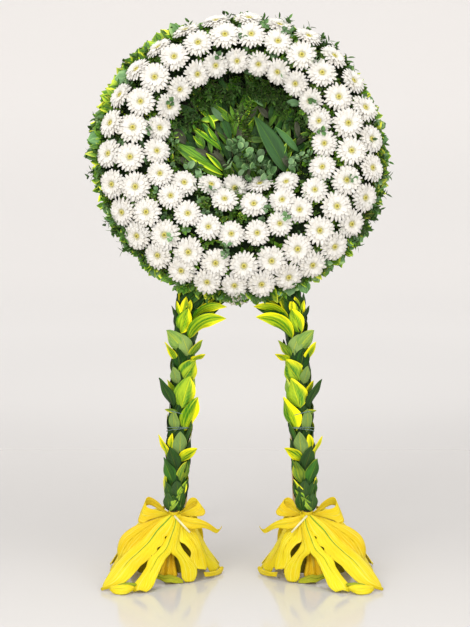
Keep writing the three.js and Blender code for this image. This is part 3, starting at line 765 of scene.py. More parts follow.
class WREATH_OT_greenery(bpy.types.Operator):
    """Fills the bed and its rim with sprigs"""

    bl_idname = "wreath.greenery"
    bl_label = "Greenery"

    def execute(self, context):
        rng = random.Random(23)
        settings = context.scene.wreath_greenery
        where = stand()
        herbs = Herbs(rng)
        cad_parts["foam_ring"].data.materials[0] = moss_material()

        # Short sprigs all over the bed, and eucalyptus laid on top of them.
        sheaf = Sheaf()
        for _ in range(settings.bed_sprigs):
            angle = rng.uniform(0, math.tau)
            share = rng.uniform(0.02, 0.95)
            x, z = where.bed_spot(angle, share)
            normal = where.normal(x, z, 1.2)
            lean = any_way(rng) * 0.75
            kind = rng.choices(["box", "eucalyptus", "variegated"], [8, 1.6, 1.0])[0]
            place = where.point(x, z, where.height(x, z) - 0.006)
            herbs.plant(sheaf, rng, kind, place, (normal + lean).normalized(), rng.uniform(0.65, 1.0))
        for _ in range(settings.laid_sprigs):
            x, z = where.bed_spot(rng.uniform(0, math.tau), rng.uniform(0.1, 0.85))
            normal = where.normal(x, z, 0.9)
            place = where.point(x, z, where.height(x, z)) + normal * 0.02
            lean = any_way(rng)
            herbs.plant(sheaf, rng, "eucalyptus", place, (normal * 0.8 + lean).normalized(), 0.95)
        sheaf.piece("bed_greenery", herbs.materials, "box_leaf")

        # The rim: sprigs that point outwards, and single leaves that lie over them.
        for quarter in range(4):
            sheaf = Sheaf()
            count = settings.rim_sprigs // 4
            for index in range(count):
                angle = (quarter + (index + rng.random()) / count) * math.pi / 2
                right, high = math.sin(angle), math.cos(angle)
                x, z = where.bed_spot(angle, rng.uniform(0.88, 0.985) - 0.03 * max(0.0, high))
                out = rng.uniform(-0.1, 1.1)
                outward = where.fan(angle + rng.uniform(-0.6, 0.6), out)
                # Gold shows most at the upper left, and silver on the right.
                golden = 2.6 if right < -0.3 and high > -0.25 else 0.5 + 0.5 * (right > 0.8)
                silver = 2.4 if right > 0.35 else 0.7
                kind = rng.choices(["box", "eucalyptus", "variegated", "ruscus"], [6, silver, golden, 1.2])[0]
                place = where.point(x, z, rng.uniform(0.002, 0.045))
                gold = 1.0 if kind == "variegated" else 0.5
                herbs.plant(sheaf, rng, kind, place, outward, rng.uniform(0.75, 1.05), gold)
            for _ in range(int(settings.rim_leaves * (0.5 if quarter == 3 else 0.24))):
                angle = (quarter + rng.random()) * math.pi / 2
                right, high = math.sin(angle), math.cos(angle)
                x, z = where.bed_spot(angle, rng.uniform(0.94, 1.0) - 0.025 * max(0.0, high))
                along = where.fan(angle + rng.uniform(-0.9, 0.9), rng.uniform(-0.1, 0.45))
                normal = where.way(rng.uniform(-0.7, 0.7), rng.uniform(-0.5, 0.9), 1)
                place = where.point(x, z, where.height(x, z) * rng.uniform(0.4, 1.0))
                golden = 3.4 if right < -0.3 and high > -0.3 else 0.6 + 1.2 * (right > 0.8)
                kind = rng.choices((0, 2, 3), [4, 2.5 if right > 0.3 else 0.8, golden])[0]
                grown = 1.3 if quarter == 3 and high < 0.9 else 1 - 0.25 * max(0.0, high)
                long = rng.uniform(0.030, 0.056) * grown
                half = long * (0.40 if kind == 2 else rng.uniform(0.25, 0.33))
                outline = pointed if kind == 3 else rounded
                form = leaf_form(place, along, normal, long, half, 0.25, rng.uniform(-0.3, 0.5), outline)
                gilt = rng.uniform(0.45, 1.0) if kind == 3 else rng.random() * 0.8
                sheaf.blade(4, 4, form, (gilt, rng.random() * 0.25, rng.uniform(0.6, 1.5)), kind)
            replaced = [f"rim_twigs_{quarter + 1}"]
            sheaf.piece(f"rim_greenery_{quarter + 1}", herbs.materials, "box_leaf", replaced)
        return {"FINISHED"}


# ---------------------------------------------------------------- the middle of the ring
# The leaves that stand out in the hole: where each one starts (mm across and up from the ring's
# centre), its direction in degrees from straight up, length and half width in mm, height above
# the board, its tint (gold, bloom, lightness) and its material.
# Painted light: many lightness values run above 1, to make up for the shade that the ring casts into the
# hole.
BROAD = [
    (-143, 135, -58, 104, 17, 62, 0.1, 0.5, 1.12, 1), (-112, 138, -36, 92, 13, 68, 0.42, 0, 1.12, 0),
    (-62, 126, -40, 76, 12, 78, 0, 1, 0.75, 1), (-142, 132, 84, 82, 13, 74, 0.5, 0.15, 1.5, 0),
    (-214, 134, 92, 66, 9, 70, 0.1, 0.6, 0.75, 1), (-66, -78, -54, 242, 24, 74, 0.3, 0.12, 1.27, 0),
    (-62, -72, -60, 150, 11, 88, 0.72, 0, 1.42, 0), (-64, -56, -40, 92, 10, 88, 0.9, 0, 1.5, 0),
    (-66, 20, -47, 150, 11, 78, 0.62, 0, 1.35, 0), (-70, 28, -36, 130, 12, 70, 0.2, 0.1, 1.05, 1),
    (-150, 18, -84, 84, 15, 66, 0.3, 0.2, 1.35, 0), (-250, 78, 94, 46, 12, 72, 0.35, 0.2, 1.5, 0),
    (-34, 58, -20, 118, 14, 62, 0.1, 0.1, 0.9, 1), (-26, 124, -46, 112, 12, 60, 0.2, 0.05, 0.6, 0),
    (166, -66, -25, 250, 35, 84, 0.1, 0.35, 0.8, 1), (-92, 96, -22, 62, 8, 84, 0.5, 0, 1.3, 0),
    (-112, 62, -62, 64, 9, 86, 0.35, 0.15, 1.3, 0), (-84, 52, -34, 62, 8, 88, 0.55, 0, 1.4, 0),
    (-132, 34, -48, 56, 7, 84, 0.6, 0, 1.3, 0), (-20, 126, -14, 64, 8, 80, 0.3, 0.1, 1.2, 0),
    (2, 116, 24, 60, 7, 84, 0.4, 0.1, 1.3, 0), (-14, 100, 4, 74, 8, 82, 0.35, 0.2, 1.3, 0),
    (-40, 124, -44, 54, 7, 80, 0.4, 0.1, 1.2, 0), (84, 56, -88, 70, 12, 80, 0.45, 0.4, 1.35, 0),
    (52, 28, 2, 92, 17, 62, 0.1, 0.6, 1.05, 1), (126, -76, -34, 132, 18, 76, 0.1, 0.3, 0.9, 1),
    (208, 14, -38, 130, 15, 84, 0.2, 0.4, 1.2, 1), (152, 0, 12, 48, 7, 96, 0.7, 0.2, 1.5, 0),
    (84, 224, 112, 58, 14, 104, 0.25, 0.35, 1.5, 0), (212, 186, -82, 50, 14, 104, 0.1, 1, 1.5, 1),
    (232, 168, 176, 62, 9, 90, 0.3, 0.5, 1.35, 0), (48, 218, 138, 54, 10, 98, 0.2, 0.7, 1.05, 1),
    (10, 68, 30, 84, 8, 74, 0.6, 0, 1.2, 0), (20, 138, 20, 70, 6, 70, 0.5, 0, 1.35, 0),
]
# The leaves that show their undersides, in the same measures.
UNDERSIDES = [
    (-196, 44, -34, 84, 18, 70), (-110, -2, -60, 62, 12, 78), (-176, -38, -52, 66, 12, 70),
    (-150, 162, -32, 58, 9, 78), (-66, 228, -46, 54, 12, 88), (-58, -22, -44, 60, 9, 80),
    (32, 132, 26, 62, 9, 80), (6, 56, 30, 58, 11, 84), (208, 68, -8, 72, 10, 74),
    (176, -46, -30, 60, 12, 94), (100, 140, -40, 62, 11, 66),
]
# Round eucalyptus in the hole, in clumps: mm across and up, how far it spreads and how many.
CLUMPS = [
    (-8, 6, 26, 8), (44, -20, 30, 8), (10, -66, 42, 8),
    (88, -84, 26, 7), (200, -50, 26, 8), (-170, -72, 26, 6),
]
# The hole in mm: half its width, half its height, and its rise above the ring's centre.
HOLE_WIDE, HOLE_HIGH, HOLE_RISE = 235, 205, 85


def hole_leaf(where, rng, x, z, turn, long, half, high):
    """place() for a leaf that lies in the hole and arches towards the viewer, in mm and degrees."""
    start = where.point(x * MM, z * MM, high * MM * 0.55)
    along = where.fan(math.radians(turn), 0.24)
    normal = where.way(rng.uniform(-0.35, 0.35), rng.uniform(-0.3, 0.3), 1)
    fold = rng.uniform(-0.4, 0.4)
    return leaf_form(start, along, normal, long * MM, half * MM, 0.22, fold, wave=0.05)


class WREATH_OT_centre(bpy.types.Operator):
    """Fills the hole with broad leaves, ruscus and eucalyptus"""

    bl_idname = "wreath.centre"
    bl_label = "Centre foliage"

    def execute(self, context):
        rng = random.Random(37)
        settings = context.scene.wreath_greenery
        where = stand()
        herbs = Herbs(rng)
        broad = leaf_material(
            "cordyline_leaf", (0.018, 0.1, 0.003), (0.14, 0.33, 0.01), gold=(0.48, 0.62, 0.02)
        )
        dark = leaf_material(
            "aspidistra_leaf", (0.008, 0.060, 0.006), (0.035, 0.15, 0.014),
            gold=(0.16, 0.34, 0.02), bloom=(0.13, 0.24, 0.11), gloss=0.36,
        )
        underside = leaf_material(
            "leaf_underside", (0.055, 0.046, 0.032), (0.11, 0.095, 0.075), gold=(0.2, 0.2, 0.12), gloss=0.6
        )
        materials = [broad, dark, underside]

        sheaf = Sheaf()
        for _ in range(settings.centre_leaves):
            angle = rng.uniform(0, math.tau)
            reach = math.sqrt(rng.random())
            x = HOLE_WIDE * reach * math.sin(angle)
            z = HOLE_RISE + HOLE_HIGH * reach * math.cos(angle)
            turn = math.degrees(math.atan2(x, z + 230)) - 18 + rng.uniform(-35, 35)
            long, half, high = rng.uniform(60, 125), rng.uniform(7, 17), rng.uniform(16, 56)
            # Painted shade: the deeper a leaf lies in the hole, the darker it is painted.
            tint = (rng.random() * 0.6, rng.random() * 0.3, (high - 16) / 40 * rng.uniform(0.1, 1.2) - 0.05)
            form = hole_leaf(where, rng, x * 0.85, z - 50, turn, long, half, high)
            sheaf.blade(4, 6, form, tint, rng.choice((0, 0, 0, 1, 1, 1, 2)))
        for *leaf, gold, bloom, light, kind in BROAD:
            sheaf.blade(8, 14, hole_leaf(where, rng, *leaf), (gold, bloom, light), kind)
        for leaf in UNDERSIDES:
            sheaf.blade(6, 10, hole_leaf(where, rng, *leaf), (0.1, 0.2, 0.6), 2)
        sheaf.piece("centre_leaves", materials, "green_leaf", [f"fan_leaf_{i}" for i in range(1, 6)])

        sheaf = Sheaf()

        def moss_bed(side, share):
            up = share * 2 - 1
            x = where.s.hole_x * 1.03 * side * math.sqrt(1 - up * up / 2)
            z = where.s.hole_rise + where.s.hole_z * 1.03 * up * math.sqrt(1 - side * side / 2)
            return where.point(x, z, 0.010 + 0.011 * noise.noise(Vector((x, z, 0)) * 45))

        sheaf.blade(56, 56, moss_bed)
        sheaf.piece("centre_moss", [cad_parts["foam_ring"].data.materials[0]], "moss_foam")

        sheaf = Sheaf()
        for _ in range(settings.ruscus_sprigs):
            angle = rng.uniform(-1.35, 1.35)
            share = rng.uniform(0.74, 1.0)
            x = where.s.hole_x * math.sin(angle) * share
            z = where.s.hole_rise + where.s.hole_z * math.cos(angle) * share
            hang = where.way(rng.uniform(-0.6, 0.6), -0.9, rng.uniform(0.1, 0.7))
            place = where.point(x, z, rng.uniform(0.03, 0.07))
            herbs.plant(sheaf, rng, "ruscus", place, hang, rng.uniform(0.5, 0.9))
        for index in range(16):
            place = where.point(rng.uniform(-0.025, 0.04), 0.03 + index * 0.008, 0.08)
            lift = where.way(rng.uniform(-0.6, 0.6), 1, 0.5)
            herbs.plant(sheaf, rng, "box", place, lift, rng.uniform(1.0, 1.6), 0.35)
        sheaf.piece("hanging_ruscus", herbs.materials, "green_leaf", ["ruscus_spray"])

        sheaf = Sheaf()
        for x, z, spread, count in CLUMPS:
            for index in range(int(1.6 * count)):
                spot = [(value + rng.uniform(-spread, spread)) * MM for value in (x, z)]
                lift = where.way(rng.uniform(-0.8, 0.8), 0.8, rng.uniform(0.1, 0.7))
                place = where.point(*spot, rng.uniform(0.055, 0.09))
                if index % 3 == 0:
                    herbs.plant(sheaf, rng, "eucalyptus", place, lift, rng.uniform(0.8, 1.2))
                    continue
                normal = where.way(rng.uniform(-0.7, 0.7), rng.uniform(-0.3, 0.8), 1)
                long = rng.uniform(0.024, 0.036)
                form = leaf_form(place, lift, normal, long, long * rng.uniform(0.34, 0.44), 0.2, 0.3, rounded)
                sheaf.blade(4, 5, form, (rng.random() * 0.6, rng.uniform(0.0, 0.5), rng.uniform(0.2, 1.2)), 2)
        sheaf.piece("centre_eucalyptus", herbs.materials, "eucalyptus", ["eucalyptus_spray"])
        return {"FINISHED"}


# ---------------------------------------------------------------- legs
def around_leg(leg, inward, turn, radius, up):
    """A point round a leg: turn is from the viewer's side, and grows inwards."""
    return leg @ Vector((inward * radius * math.sin(turn), -radius * math.cos(turn), up))


def leg_leaf(leg, inward, base, tip, half_width, bulge=0.008, twist=0.0, ripple=0.0, rise=0.0):
    """place() for a leaf that hugs the leg at its base and stands off towards its tip.

    Its base and its tip are each a turn round the leg, a radius and a height up it.
    """

    def middle(share):
        turn, _, up = (first + (last - first) * share for first, last in zip(base, tip))
        out = base[1] + (tip[1] - base[1]) * max(0.0, share) ** 1.4 + bulge * math.sin(math.pi * share)
        up += rise * math.sin(math.pi * share)
        return around_leg(leg, inward, turn, out, up), around_leg(leg, inward, turn, 0.0, up)

    def place(side, share):
        spot, axis = middle(share)
        way = (middle(share + 0.02)[0] - middle(share - 0.02)[0]).normalized()
        radial = (spot - axis).normalized()
        right = way.cross(radial).normalized()
        radial = right.cross(way)
        lateral = side * half_width * pointed(share, 0.75)
        roll = twist * side * share
        drop = lateral * lateral / (2 * base[1]) * (1.1 - 0.9 * share)
        wave = ripple * half_width * math.sin(8 * share + 2.5 * side) * abs(side)
        lift = abs(lateral) * math.sin(roll) + wave - drop
        return spot + right * lateral * math.cos(roll) + radial * lift

    return place


# The leaves on the front of a leg, from the top down, in mm: where each starts (up the post and
# inwards of its middle), where its tip is, its half width, then its tint and its material.
FRONT_LEAVES = [
    (911, -9, 975, -2, 12, 0.9, 0, 1, 0), (917, 7, 965, 15, 9, 1, 0, 1, 0),
    (894, -14, 965, -36, 10, 0.95, 0, 0.9, 0), (890, -24, 944, -54, 9, 0.1, 0.2, 0.3, 1),
    (896, 26, 944, 144, 15, 0.62, 0, 0.8, 0), (846, -14, 936, 12, 24, 0.66, 0, 1, 0),
    (830, 16, 906, 142, 22, 0.68, 0, 1, 0), (782, 2, 858, -64, 24, 0.3, 0.55, 1, 0),
    (762, 24, 828, 66, 16, 0.55, 0.15, 0.8, 0), (762, 20, 842, -10, 22, 0, 0.85, 0.85, 0),
    (750, 30, 776, 80, 16, 0.85, 0, 1, 0), (740, -22, 812, -70, 14, 0.85, 0, 0.9, 0),
    (716, -8, 792, -24, 24, 0, 0, 0.25, 1), (668, -14, 728, -34, 18, 0, 0.75, 0.7, 0),
    (676, 2, 756, 44, 31, 0.62, 0.1, 0.9, 0), (630, -22, 678, -52, 10, 0.9, 0, 0.9, 0),
    (612, 30, 690, 46, 16, 0.2, 0.5, 0.9, 0), (584, -24, 682, -80, 19, 0, 0.25, 0.35, 1),
    (582, 4, 692, 28, 33, 0.48, 0.1, 1, 0), (566, -6, 574, -54, 6, 0.7, 0.2, 0.6, 0),
    (498, -14, 578, -24, 17, 0, 0.7, 0.6, 0), (505, 20, 622, 60, 29, 0.8, 0, 1, 0),
    (406, -36, 482, -70, 14, 1, 0, 1, 0), (426, -26, 492, -24, 13, 1, 0, 1, 0),
    (396, -30, 458, -46, 11, 0.7, 0, 0.7, 0), (414, 8, 500, 9, 22, 0, 0.8, 0.65, 0),
    (398, 8, 446, 68, 16, 0.85, 0, 0.85, 0), (362, 2, 446, -30, 21, 0, 0.3, 0.2, 1),
    (320, -10, 404, -48, 21, 0.1, 0.15, 1.3, 1), (320, 14, 398, 34, 19, 0.25, 0.25, 0.55, 0),
    (294, -30, 340, -40, 12, 0.9, 0.2, 0.8, 0), (266, 10, 326, 4, 19, 0, 0.5, 0.3, 1),
    (268, -12, 326, -36, 17, 0, 0.3, 0.5, 1), (262, 8, 334, 40, 13, 0.35, 0.2, 1.1, 0),
    (222, 18, 288, 28, 17, 0.1, 0.2, 0.9, 1), (220, -14, 284, -26, 18, 0, 0.5, 0.5, 1),
    (221, 2, 276, -6, 16, 0.1, 0.2, 0.7, 1), (226, 26, 262, 30, 10, 0.1, 0.4, 0.8, 0),
    (220, -18, 276, 18, 10, 0.3, 0.3, 1.1, 0), (468, 28, 545, 45, 12, 0.2, 0.2, 0.5, 1),
    (398, 28, 476, 44, 12, 0.1, 0.2, 0.4, 1), (330, 28, 408, 43, 12, 0.2, 0.2, 0.6, 1),
    (258, 27, 336, 42, 12, 0.1, 0.2, 0.5, 1),
]
# How the other leaves are coloured (gold, bloom, lightness), and how often each colour comes.
LEG_TINTS = [(0.75, 0.05, 0.95), (0.45, 0.1, 0.8), (0.1, 0.1, 0.3), (0.05, 0.8, 0.6)]
LEG_SHARES = [3, 4, 4, 2]
# The loops of twine: how far up the post, their radius and how far they tilt.
TWINES = [(0.508, 0.0445, 0.16), (0.514, 0.045, 0.05), (0.563, 0.050, -0.2)]
TWINE_RADIUS = 0.0013


STEM_RADIUS = 0.0302
TOP_LEAVES = 26


def slimmer(up):
    """How much less the leaves stand off near the foot, at a height up the post."""
    return 0.003 * max(0.0, min(1.0, (0.52 - up) / 0.2))


class WREATH_OT_legs(bpy.types.Operator):
    """Sheathes the legs in leaves"""

    bl_idname = "wreath.legs"
    bl_label = "Legs"

    def execute(self, context):
        settings = context.scene.wreath_legs
        where = stand()
        materials = [
            leaf_material(
                "leg_leaf", (0.045, 0.20, 0.004), (0.38, 0.54, 0.010),
                gold=(0.88, 0.82, 0.006), bloom=(0.24, 0.36, 0.11),
            ),
            leaf_material(
                "leg_dark_leaf", (0.005, 0.046, 0.002), (0.03, 0.14, 0.005),
                gold=(0.30, 0.40, 0.01), bloom=(0.10, 0.18, 0.06),
            ),
            twine_material(),
        ]
        for hand, outward in HANDS.items():
            rng = random.Random(5 + outward)
            leg = where.leg(outward)
            inward = -outward
            sheaf = Sheaf()
            ends = [leg @ Vector((0, 0, up)) for up in (settings.first + 0.006, settings.last)]
            sheaf.rod(*ends, STEM_RADIUS, sides=20, tint=(0.0, 0.0, 0.1), material=1)
            count = int((settings.last - settings.first) / settings.pitch)
            for index in range(count):
                up = settings.first + index * settings.pitch
                turn = (index * GOLDEN_ANGLE + math.pi) % math.tau - math.pi
                front = math.cos(turn) > 0.1
                length = settings.length * rng.uniform(0.7, 1.05)
                half = settings.half_width * rng.uniform(0.8, 1.15)
                slim = settings.sleeve - slimmer(up)
                base = (turn, slim - (0.005 if front else 0.0), up)
                flare = rng.uniform(0.002, 0.008) if front else rng.uniform(0.003, 0.014)
                tip = (turn + rng.uniform(-0.6, 0.6), slim + flare, up + length)
                tint = rng.choices(LEG_TINTS, LEG_SHARES)[0]
                form = leg_leaf(leg, inward, base, tip, half, 0.004, rng.uniform(-0.4, 0.4), 0.08)
                dark = front or rng.random() < 0.3
                sheaf.blade(6, 9, form, (0.0, 0.1, rng.random() * 0.3) if dark else tint, 1 if dark else 0)
            for up, across, tip_up, tip_across, half, *tint, kind in FRONT_LEAVES:
                radius = settings.sleeve + 0.0035 - slimmer(up * MM)
                turn = math.asin(max(-0.85, min(0.85, across * MM / radius)))
                length = math.hypot(tip_up - up, tip_across - across) * MM
                reach = max(radius + 0.13 * length, abs(tip_across) * MM * 1.12)
                tip = (math.asin(tip_across * MM / reach), reach, tip_up * MM)
                sway = [rng.uniform(-1, 1) for _ in range(2)]
                tip = (tip[0] + 0.06 * sway[0], tip[1], tip[2] + 0.003 * sway[1])
                rise = 0.14 * length if tip_across > 100 else 0.0
                base = (turn, radius, up * MM)
                bend = (0.05 * length, 0.35 * sway[0], 0.12, rise)
                sheaf.blade(8, 14, leg_leaf(leg, inward, base, tip, 1.22 * half * MM, *bend), tint, kind)
            whorls = [f"leaf_whorl_{hand}_{i}" for i in range(1, 7)]
            sheaf.piece(f"leg_leaves_{hand}", materials, "variegated_leaf", whorls)

            # Broad dark leaves close the corner under the bed, with a few gold streaks among them.
            sheaf = Sheaf()
            for index in range(TOP_LEAVES):
                turn = math.radians(rng.uniform(-4, 74)) * inward
                across = rng.uniform(-0.02, 0.03) * inward
                start = leg @ Vector((across, rng.uniform(-0.03, -0.01), rng.uniform(0.86, 0.95)))
                along = where.fan(turn, rng.uniform(-0.05, 0.2))
                normal = where.way(0.2 * inward, -0.1, 1)
                narrow = index % 4 == 1
                half = 0.008 if narrow else rng.uniform(0.018, 0.028)
                form = leaf_form(start, along, normal, rng.uniform(0.12, 0.17), half, 0.05, 0.2, wave=0.05)
                tint = (0.9, 0.0, 0.9) if narrow else (rng.random() * 0.25, 0.05, rng.uniform(0.1, 0.7))
                sheaf.blade(6, 10, form, tint, 0 if narrow else 1)
            sheaf.piece(f"leg_top_leaves_{hand}", materials, "dark_leaf")

            sheaf = Sheaf()
            for up, radius, tilt in TWINES:
                turned = Matrix.Rotation(tilt * outward, 3, "Y")

                def loop(side, share):
                    around, about = math.tau * share, math.pi * side
                    ring = radius + TWINE_RADIUS * math.cos(about)
                    spot = (ring * math.cos(around), ring * math.sin(around), -TWINE_RADIUS * math.sin(about))
                    return leg @ (turned @ Vector(spot) + Vector((0, 0, up)))

                sheaf.close(sheaf.blade(6, 40, loop, (0, 0, 0.5), 2))
            sheaf.piece(f"leg_twine_{hand}", materials, "twine")
        return {"FINISHED"}


# ---------------------------------------------------------------- feet
# A lobe of the yellow leaves on the left foot is given by its two edges, from the tie to its tip.
# Each entry has a point of its outer edge and one of its inner edge: mm inwards from the tie, mm
# towards the viewer, mm up. cuts are slits in the inner edge: where, how long and how deep.
# green says how much green shows and the second tint how much amber lies on it as painted shade, arch how far
# the lobe bulges in mm, keel that it has a crest, pleat how deep its folds are, and shade how light it is.
FRONT_LOBES = [
    {"green": 1.0, "amber_shade": 0.15, "arch": 12, "keel": True,
     "cuts": [(0.26, 0.022, 0.10), (0.38, 0.028, 0.10), (0.47, 0.015, 0.06)],
     "edges": [(-10, 58, 220, 5, 64, 218), (-48, 76, 201, -4, 98, 186), (-84, 88, 173, -22, 124, 155),
               (-110, 108, 144, -45, 150, 122), (-144, 132, 112, -78, 175, 93),
               (-174, 150, 84, -106, 188, 72), (-198, 174, 57, -124, 208, 52),
               (-219, 218, 26, -160, 240, 24), (-229, 250, 4, -225, 252, 4)]},
    {"green": 1.0, "amber_shade": 0.0, "arch": 10, "keel": True,
     "edges": [(5, 64, 217, 12, 62, 218), (-4, 98, 185, 16, 98, 186), (-22, 124, 154, 8, 128, 148),
               (-45, 150, 121, -5, 150, 110), (-78, 175, 92, -24, 166, 90), (-88, 190, 67, -38, 188, 68),
               (-106, 215, 42, -48, 208, 48), (-124, 242, 22, -58, 232, 28), (-138, 268, 4, -70, 268, 4)]},
    {"green": 0.0, "amber_shade": 0.1, "arch": 4,
     "edges": [(12, 62, 218, 19, 60, 218), (15, 98, 186, 26, 93, 184), (7, 128, 148, 21, 121, 143),
               (-6, 150, 110, 29, 131, 120), (15, 147, 86, 44, 134, 100), (26, 149, 60, 60, 135, 80),
               (29, 151, 34, 80, 132, 46), (33, 153, 4, 80, 138, 4)]},
    {"green": 0.0, "amber_shade": 0.15, "arch": 4,
     "edges": [(16, 60, 218, 24, 50, 221), (23, 95, 184, 48, 70, 196), (21, 122, 144, 72, 78, 164),
               (41, 128, 130, 90, 88, 132), (61, 131, 104, 99, 93, 104), (60, 134, 80, 107, 95, 76),
               (66, 136, 56, 113, 97, 50), (82, 131, 44, 116, 102, 32)]},
    {"green": 0.0, "amber_shade": 1.0, "arch": 4, "pleat": 9,
     "edges": [(-6, 80, 190, 6, 80, 190), (-16, 100, 130, 6, 104, 130), (-34, 120, 84, 4, 118, 84),
               (-50, 134, 46, 10, 128, 46), (-60, 142, 18, 17, 134, 14)]},
    # A dark lining inside the slits: its green, amber and low lightness are painted shade inside the leaves.
    {"green": 1.5, "amber_shade": 1.0, "arch": 5, "shade": -0.75,
     "edges": [(-40, 50, 200, 40, 50, 200), (-80, 88, 150, 60, 72, 150), (-100, 106, 100, 72, 84, 100),
               (-112, 120, 60, 78, 92, 60), (-120, 130, 24, 84, 98, 24)]},
    {"green": 1.6, "amber_shade": 0.5, "arch": 2,
     "edges": [(-70, 142, 36, -72, 152, 22), (-50, 152, 33, -46, 162, 16), (-30, 152, 28, -26, 168, 8),
               (-8, 144, 27, -6, 170, 9), (14, 146, 20, 14, 164, 3), (34, 152, 12, 36, 160, 3)]},
    {"green": 0.0, "amber_shade": 0.0, "arch": 9,
     "edges": [(-201, 254, 12, -199, 260, 8), (-190, 262, 23, -187, 284, 5), (-166, 266, 27, -166, 294, 2),
               (-144, 270, 29, -148, 290, 3), (-120, 268, 22, -124, 276, 12)]},
    {"green": 1.7, "amber_shade": 0.0, "arch": 2,
     "edges": [(-178, 246, 20, -176, 262, 22), (-158, 246, 27, -156, 264, 26),
               (-134, 250, 31, -138, 266, 27), (-114, 252, 27, -118, 260, 22)]},
]
SIDE_LOBES = [
    {"green": 1.1, "amber_shade": 0.2, "arch": 6,
     "edges": [(20, 50, 222, 26, 38, 224), (44, 74, 190, 46, 46, 190), (68, 82, 150, 74, 54, 148),
               (86, 88, 112, 95, 56, 112), (98, 88, 76, 112, 54, 84), (116, 80, 36, 130, 46, 56),
               (130, 64, 6, 160, 18, 30)]},
    {"green": 0.0, "amber_shade": 0.4, "arch": 3,
     "edges": [(104, 106, 26, 108, 112, 12), (126, 90, 22, 132, 94, 8), (150, 52, 18, 158, 54, 4),
               (166, 16, 24, 172, 16, 8)]},
]
BACK_LOBES = [
    {"green": 0.0, "amber_shade": 0.5, "arch": 7,
     "edges": [(-14, 50, 217, -6, 54, 214), (-50, 62, 209, -34, 76, 198), (-90, 80, 197, -66, 92, 174),
               (-136, 104, 183, -92, 106, 148), (-170, 116, 156, -120, 122, 122),
               (-184, 119, 120, -142, 134, 96), (-185, 116, 88, -158, 142, 66),
               (-176, 100, 50, -164, 134, 34), (-160, 90, 14, -158, 120, 12)]},
    {"green": 1.6, "amber_shade": 0.0, "arch": 4,
     "edges": [(-60, 20, 200, -60, 50, 200), (-126, 30, 124, -126, 64, 124), (-170, 30, 70, -166, 60, 70),
               (-194, 24, 32, -188, 52, 32), (-212, 0, 6, -204, 30, 6)]},
]
# What of a lobe is its shape, and not its colour.
LOBE_SHAPE = ("edges", "arch", "pleat", "cuts", "keel")
# How a leaf falls from the tie to the floor, slack at the side and full behind: mm out from the leg
# and mm up. FALLS has the lobes: their turn from inwards, by way of the viewer, reach and half width.
DRAPES = {
    "side": [(42, 226), (58, 186), (82, 130), (122, 64), (172, 3)],
    "back": [(45, 226), (92, 196), (148, 122), (186, 44), (206, 3)],
}
FALLS = {
    "side": [(-56, 186, 38), (-28, 170, 38), (2, 160, 28)],
    "back": [(176, 214, 38), (198, 232, 38), (226, 230, 38), (290, 204, 44)],
}
# The bow in the same measures as the lobes: two loops, and a tail that ends in a curl.
BOW = {
    "outer": [
        (-14, 46, 220, -12, 46, 212), (-33, 43, 232, -34, 46, 220), (-51, 42, 254, -50, 44, 229),
        (-69, 44, 269, -66, 42, 239), (-85, 49, 277, -86, 42, 247), (-94, 58, 273, -106, 52, 238),
        (-96, 65, 258, -117, 68, 212), (-89, 69, 245, -119, 81, 197), (-75, 71, 240, -104, 85, 192),
        (-58, 70, 236, -86, 82, 202), (-32, 64, 226, -48, 72, 213), (-12, 56, 220, -14, 58, 215),
    ],
    "inner": [
        (16, 46, 220, 18, 46, 213), (35, 43, 234, 37, 46, 221), (44, 42, 254, 56, 44, 228),
        (54, 44, 269, 76, 46, 238), (67, 48, 275, 94, 54, 243), (79, 54, 271, 106, 64, 236),
        (82, 60, 262, 109, 71, 226), (75, 64, 249, 101, 74, 217), (56, 66, 237, 76, 72, 213),
        (34, 62, 226, 46, 67, 213), (16, 56, 220, 20, 58, 215),
    ],
    "tail": [
        (10, 60, 217, 12, 66, 206), (32, 74, 216, 27, 92, 194), (55, 82, 213, 50, 104, 181),
        (84, 88, 210, 72, 102, 176), (114, 88, 198, 100, 98, 179), (136, 90, 184, 122, 94, 172),
        (150, 91, 174, 138, 90, 162), (160, 93, 176, 152, 93, 161), (167, 92, 186, 166, 94, 180),
    ],
    "knot": [
        (-19, 46, 228, -17, 50, 208), (-9, 66, 227, -8, 69, 207),
        (8, 66, 227, 9, 69, 207), (19, 46, 228, 18, 50, 208),
    ],
}


FLOOR_GAP = 0.0012


def fall(drape, turn, reach, half_width):
    """The edges of a lobe that falls from the tie to the floor."""
    angle = math.radians(turn)
    sine, cosine = math.sin(angle), math.cos(angle)
    near, far = drape[0][0], drape[-1][0]
    edges = []
    for (out, up), width in zip(drape, (0.2, 0.75, 1.0, 0.8, 0.35)):
        out += (reach - far) * ((out - near) / (far - near)) ** 3
        ends = []
        for side in (-half_width * width, half_width * width):
            ends += [out * cosine + side * sine, out * sine - side * cosine, up]
        edges.append(ends)
    return edges


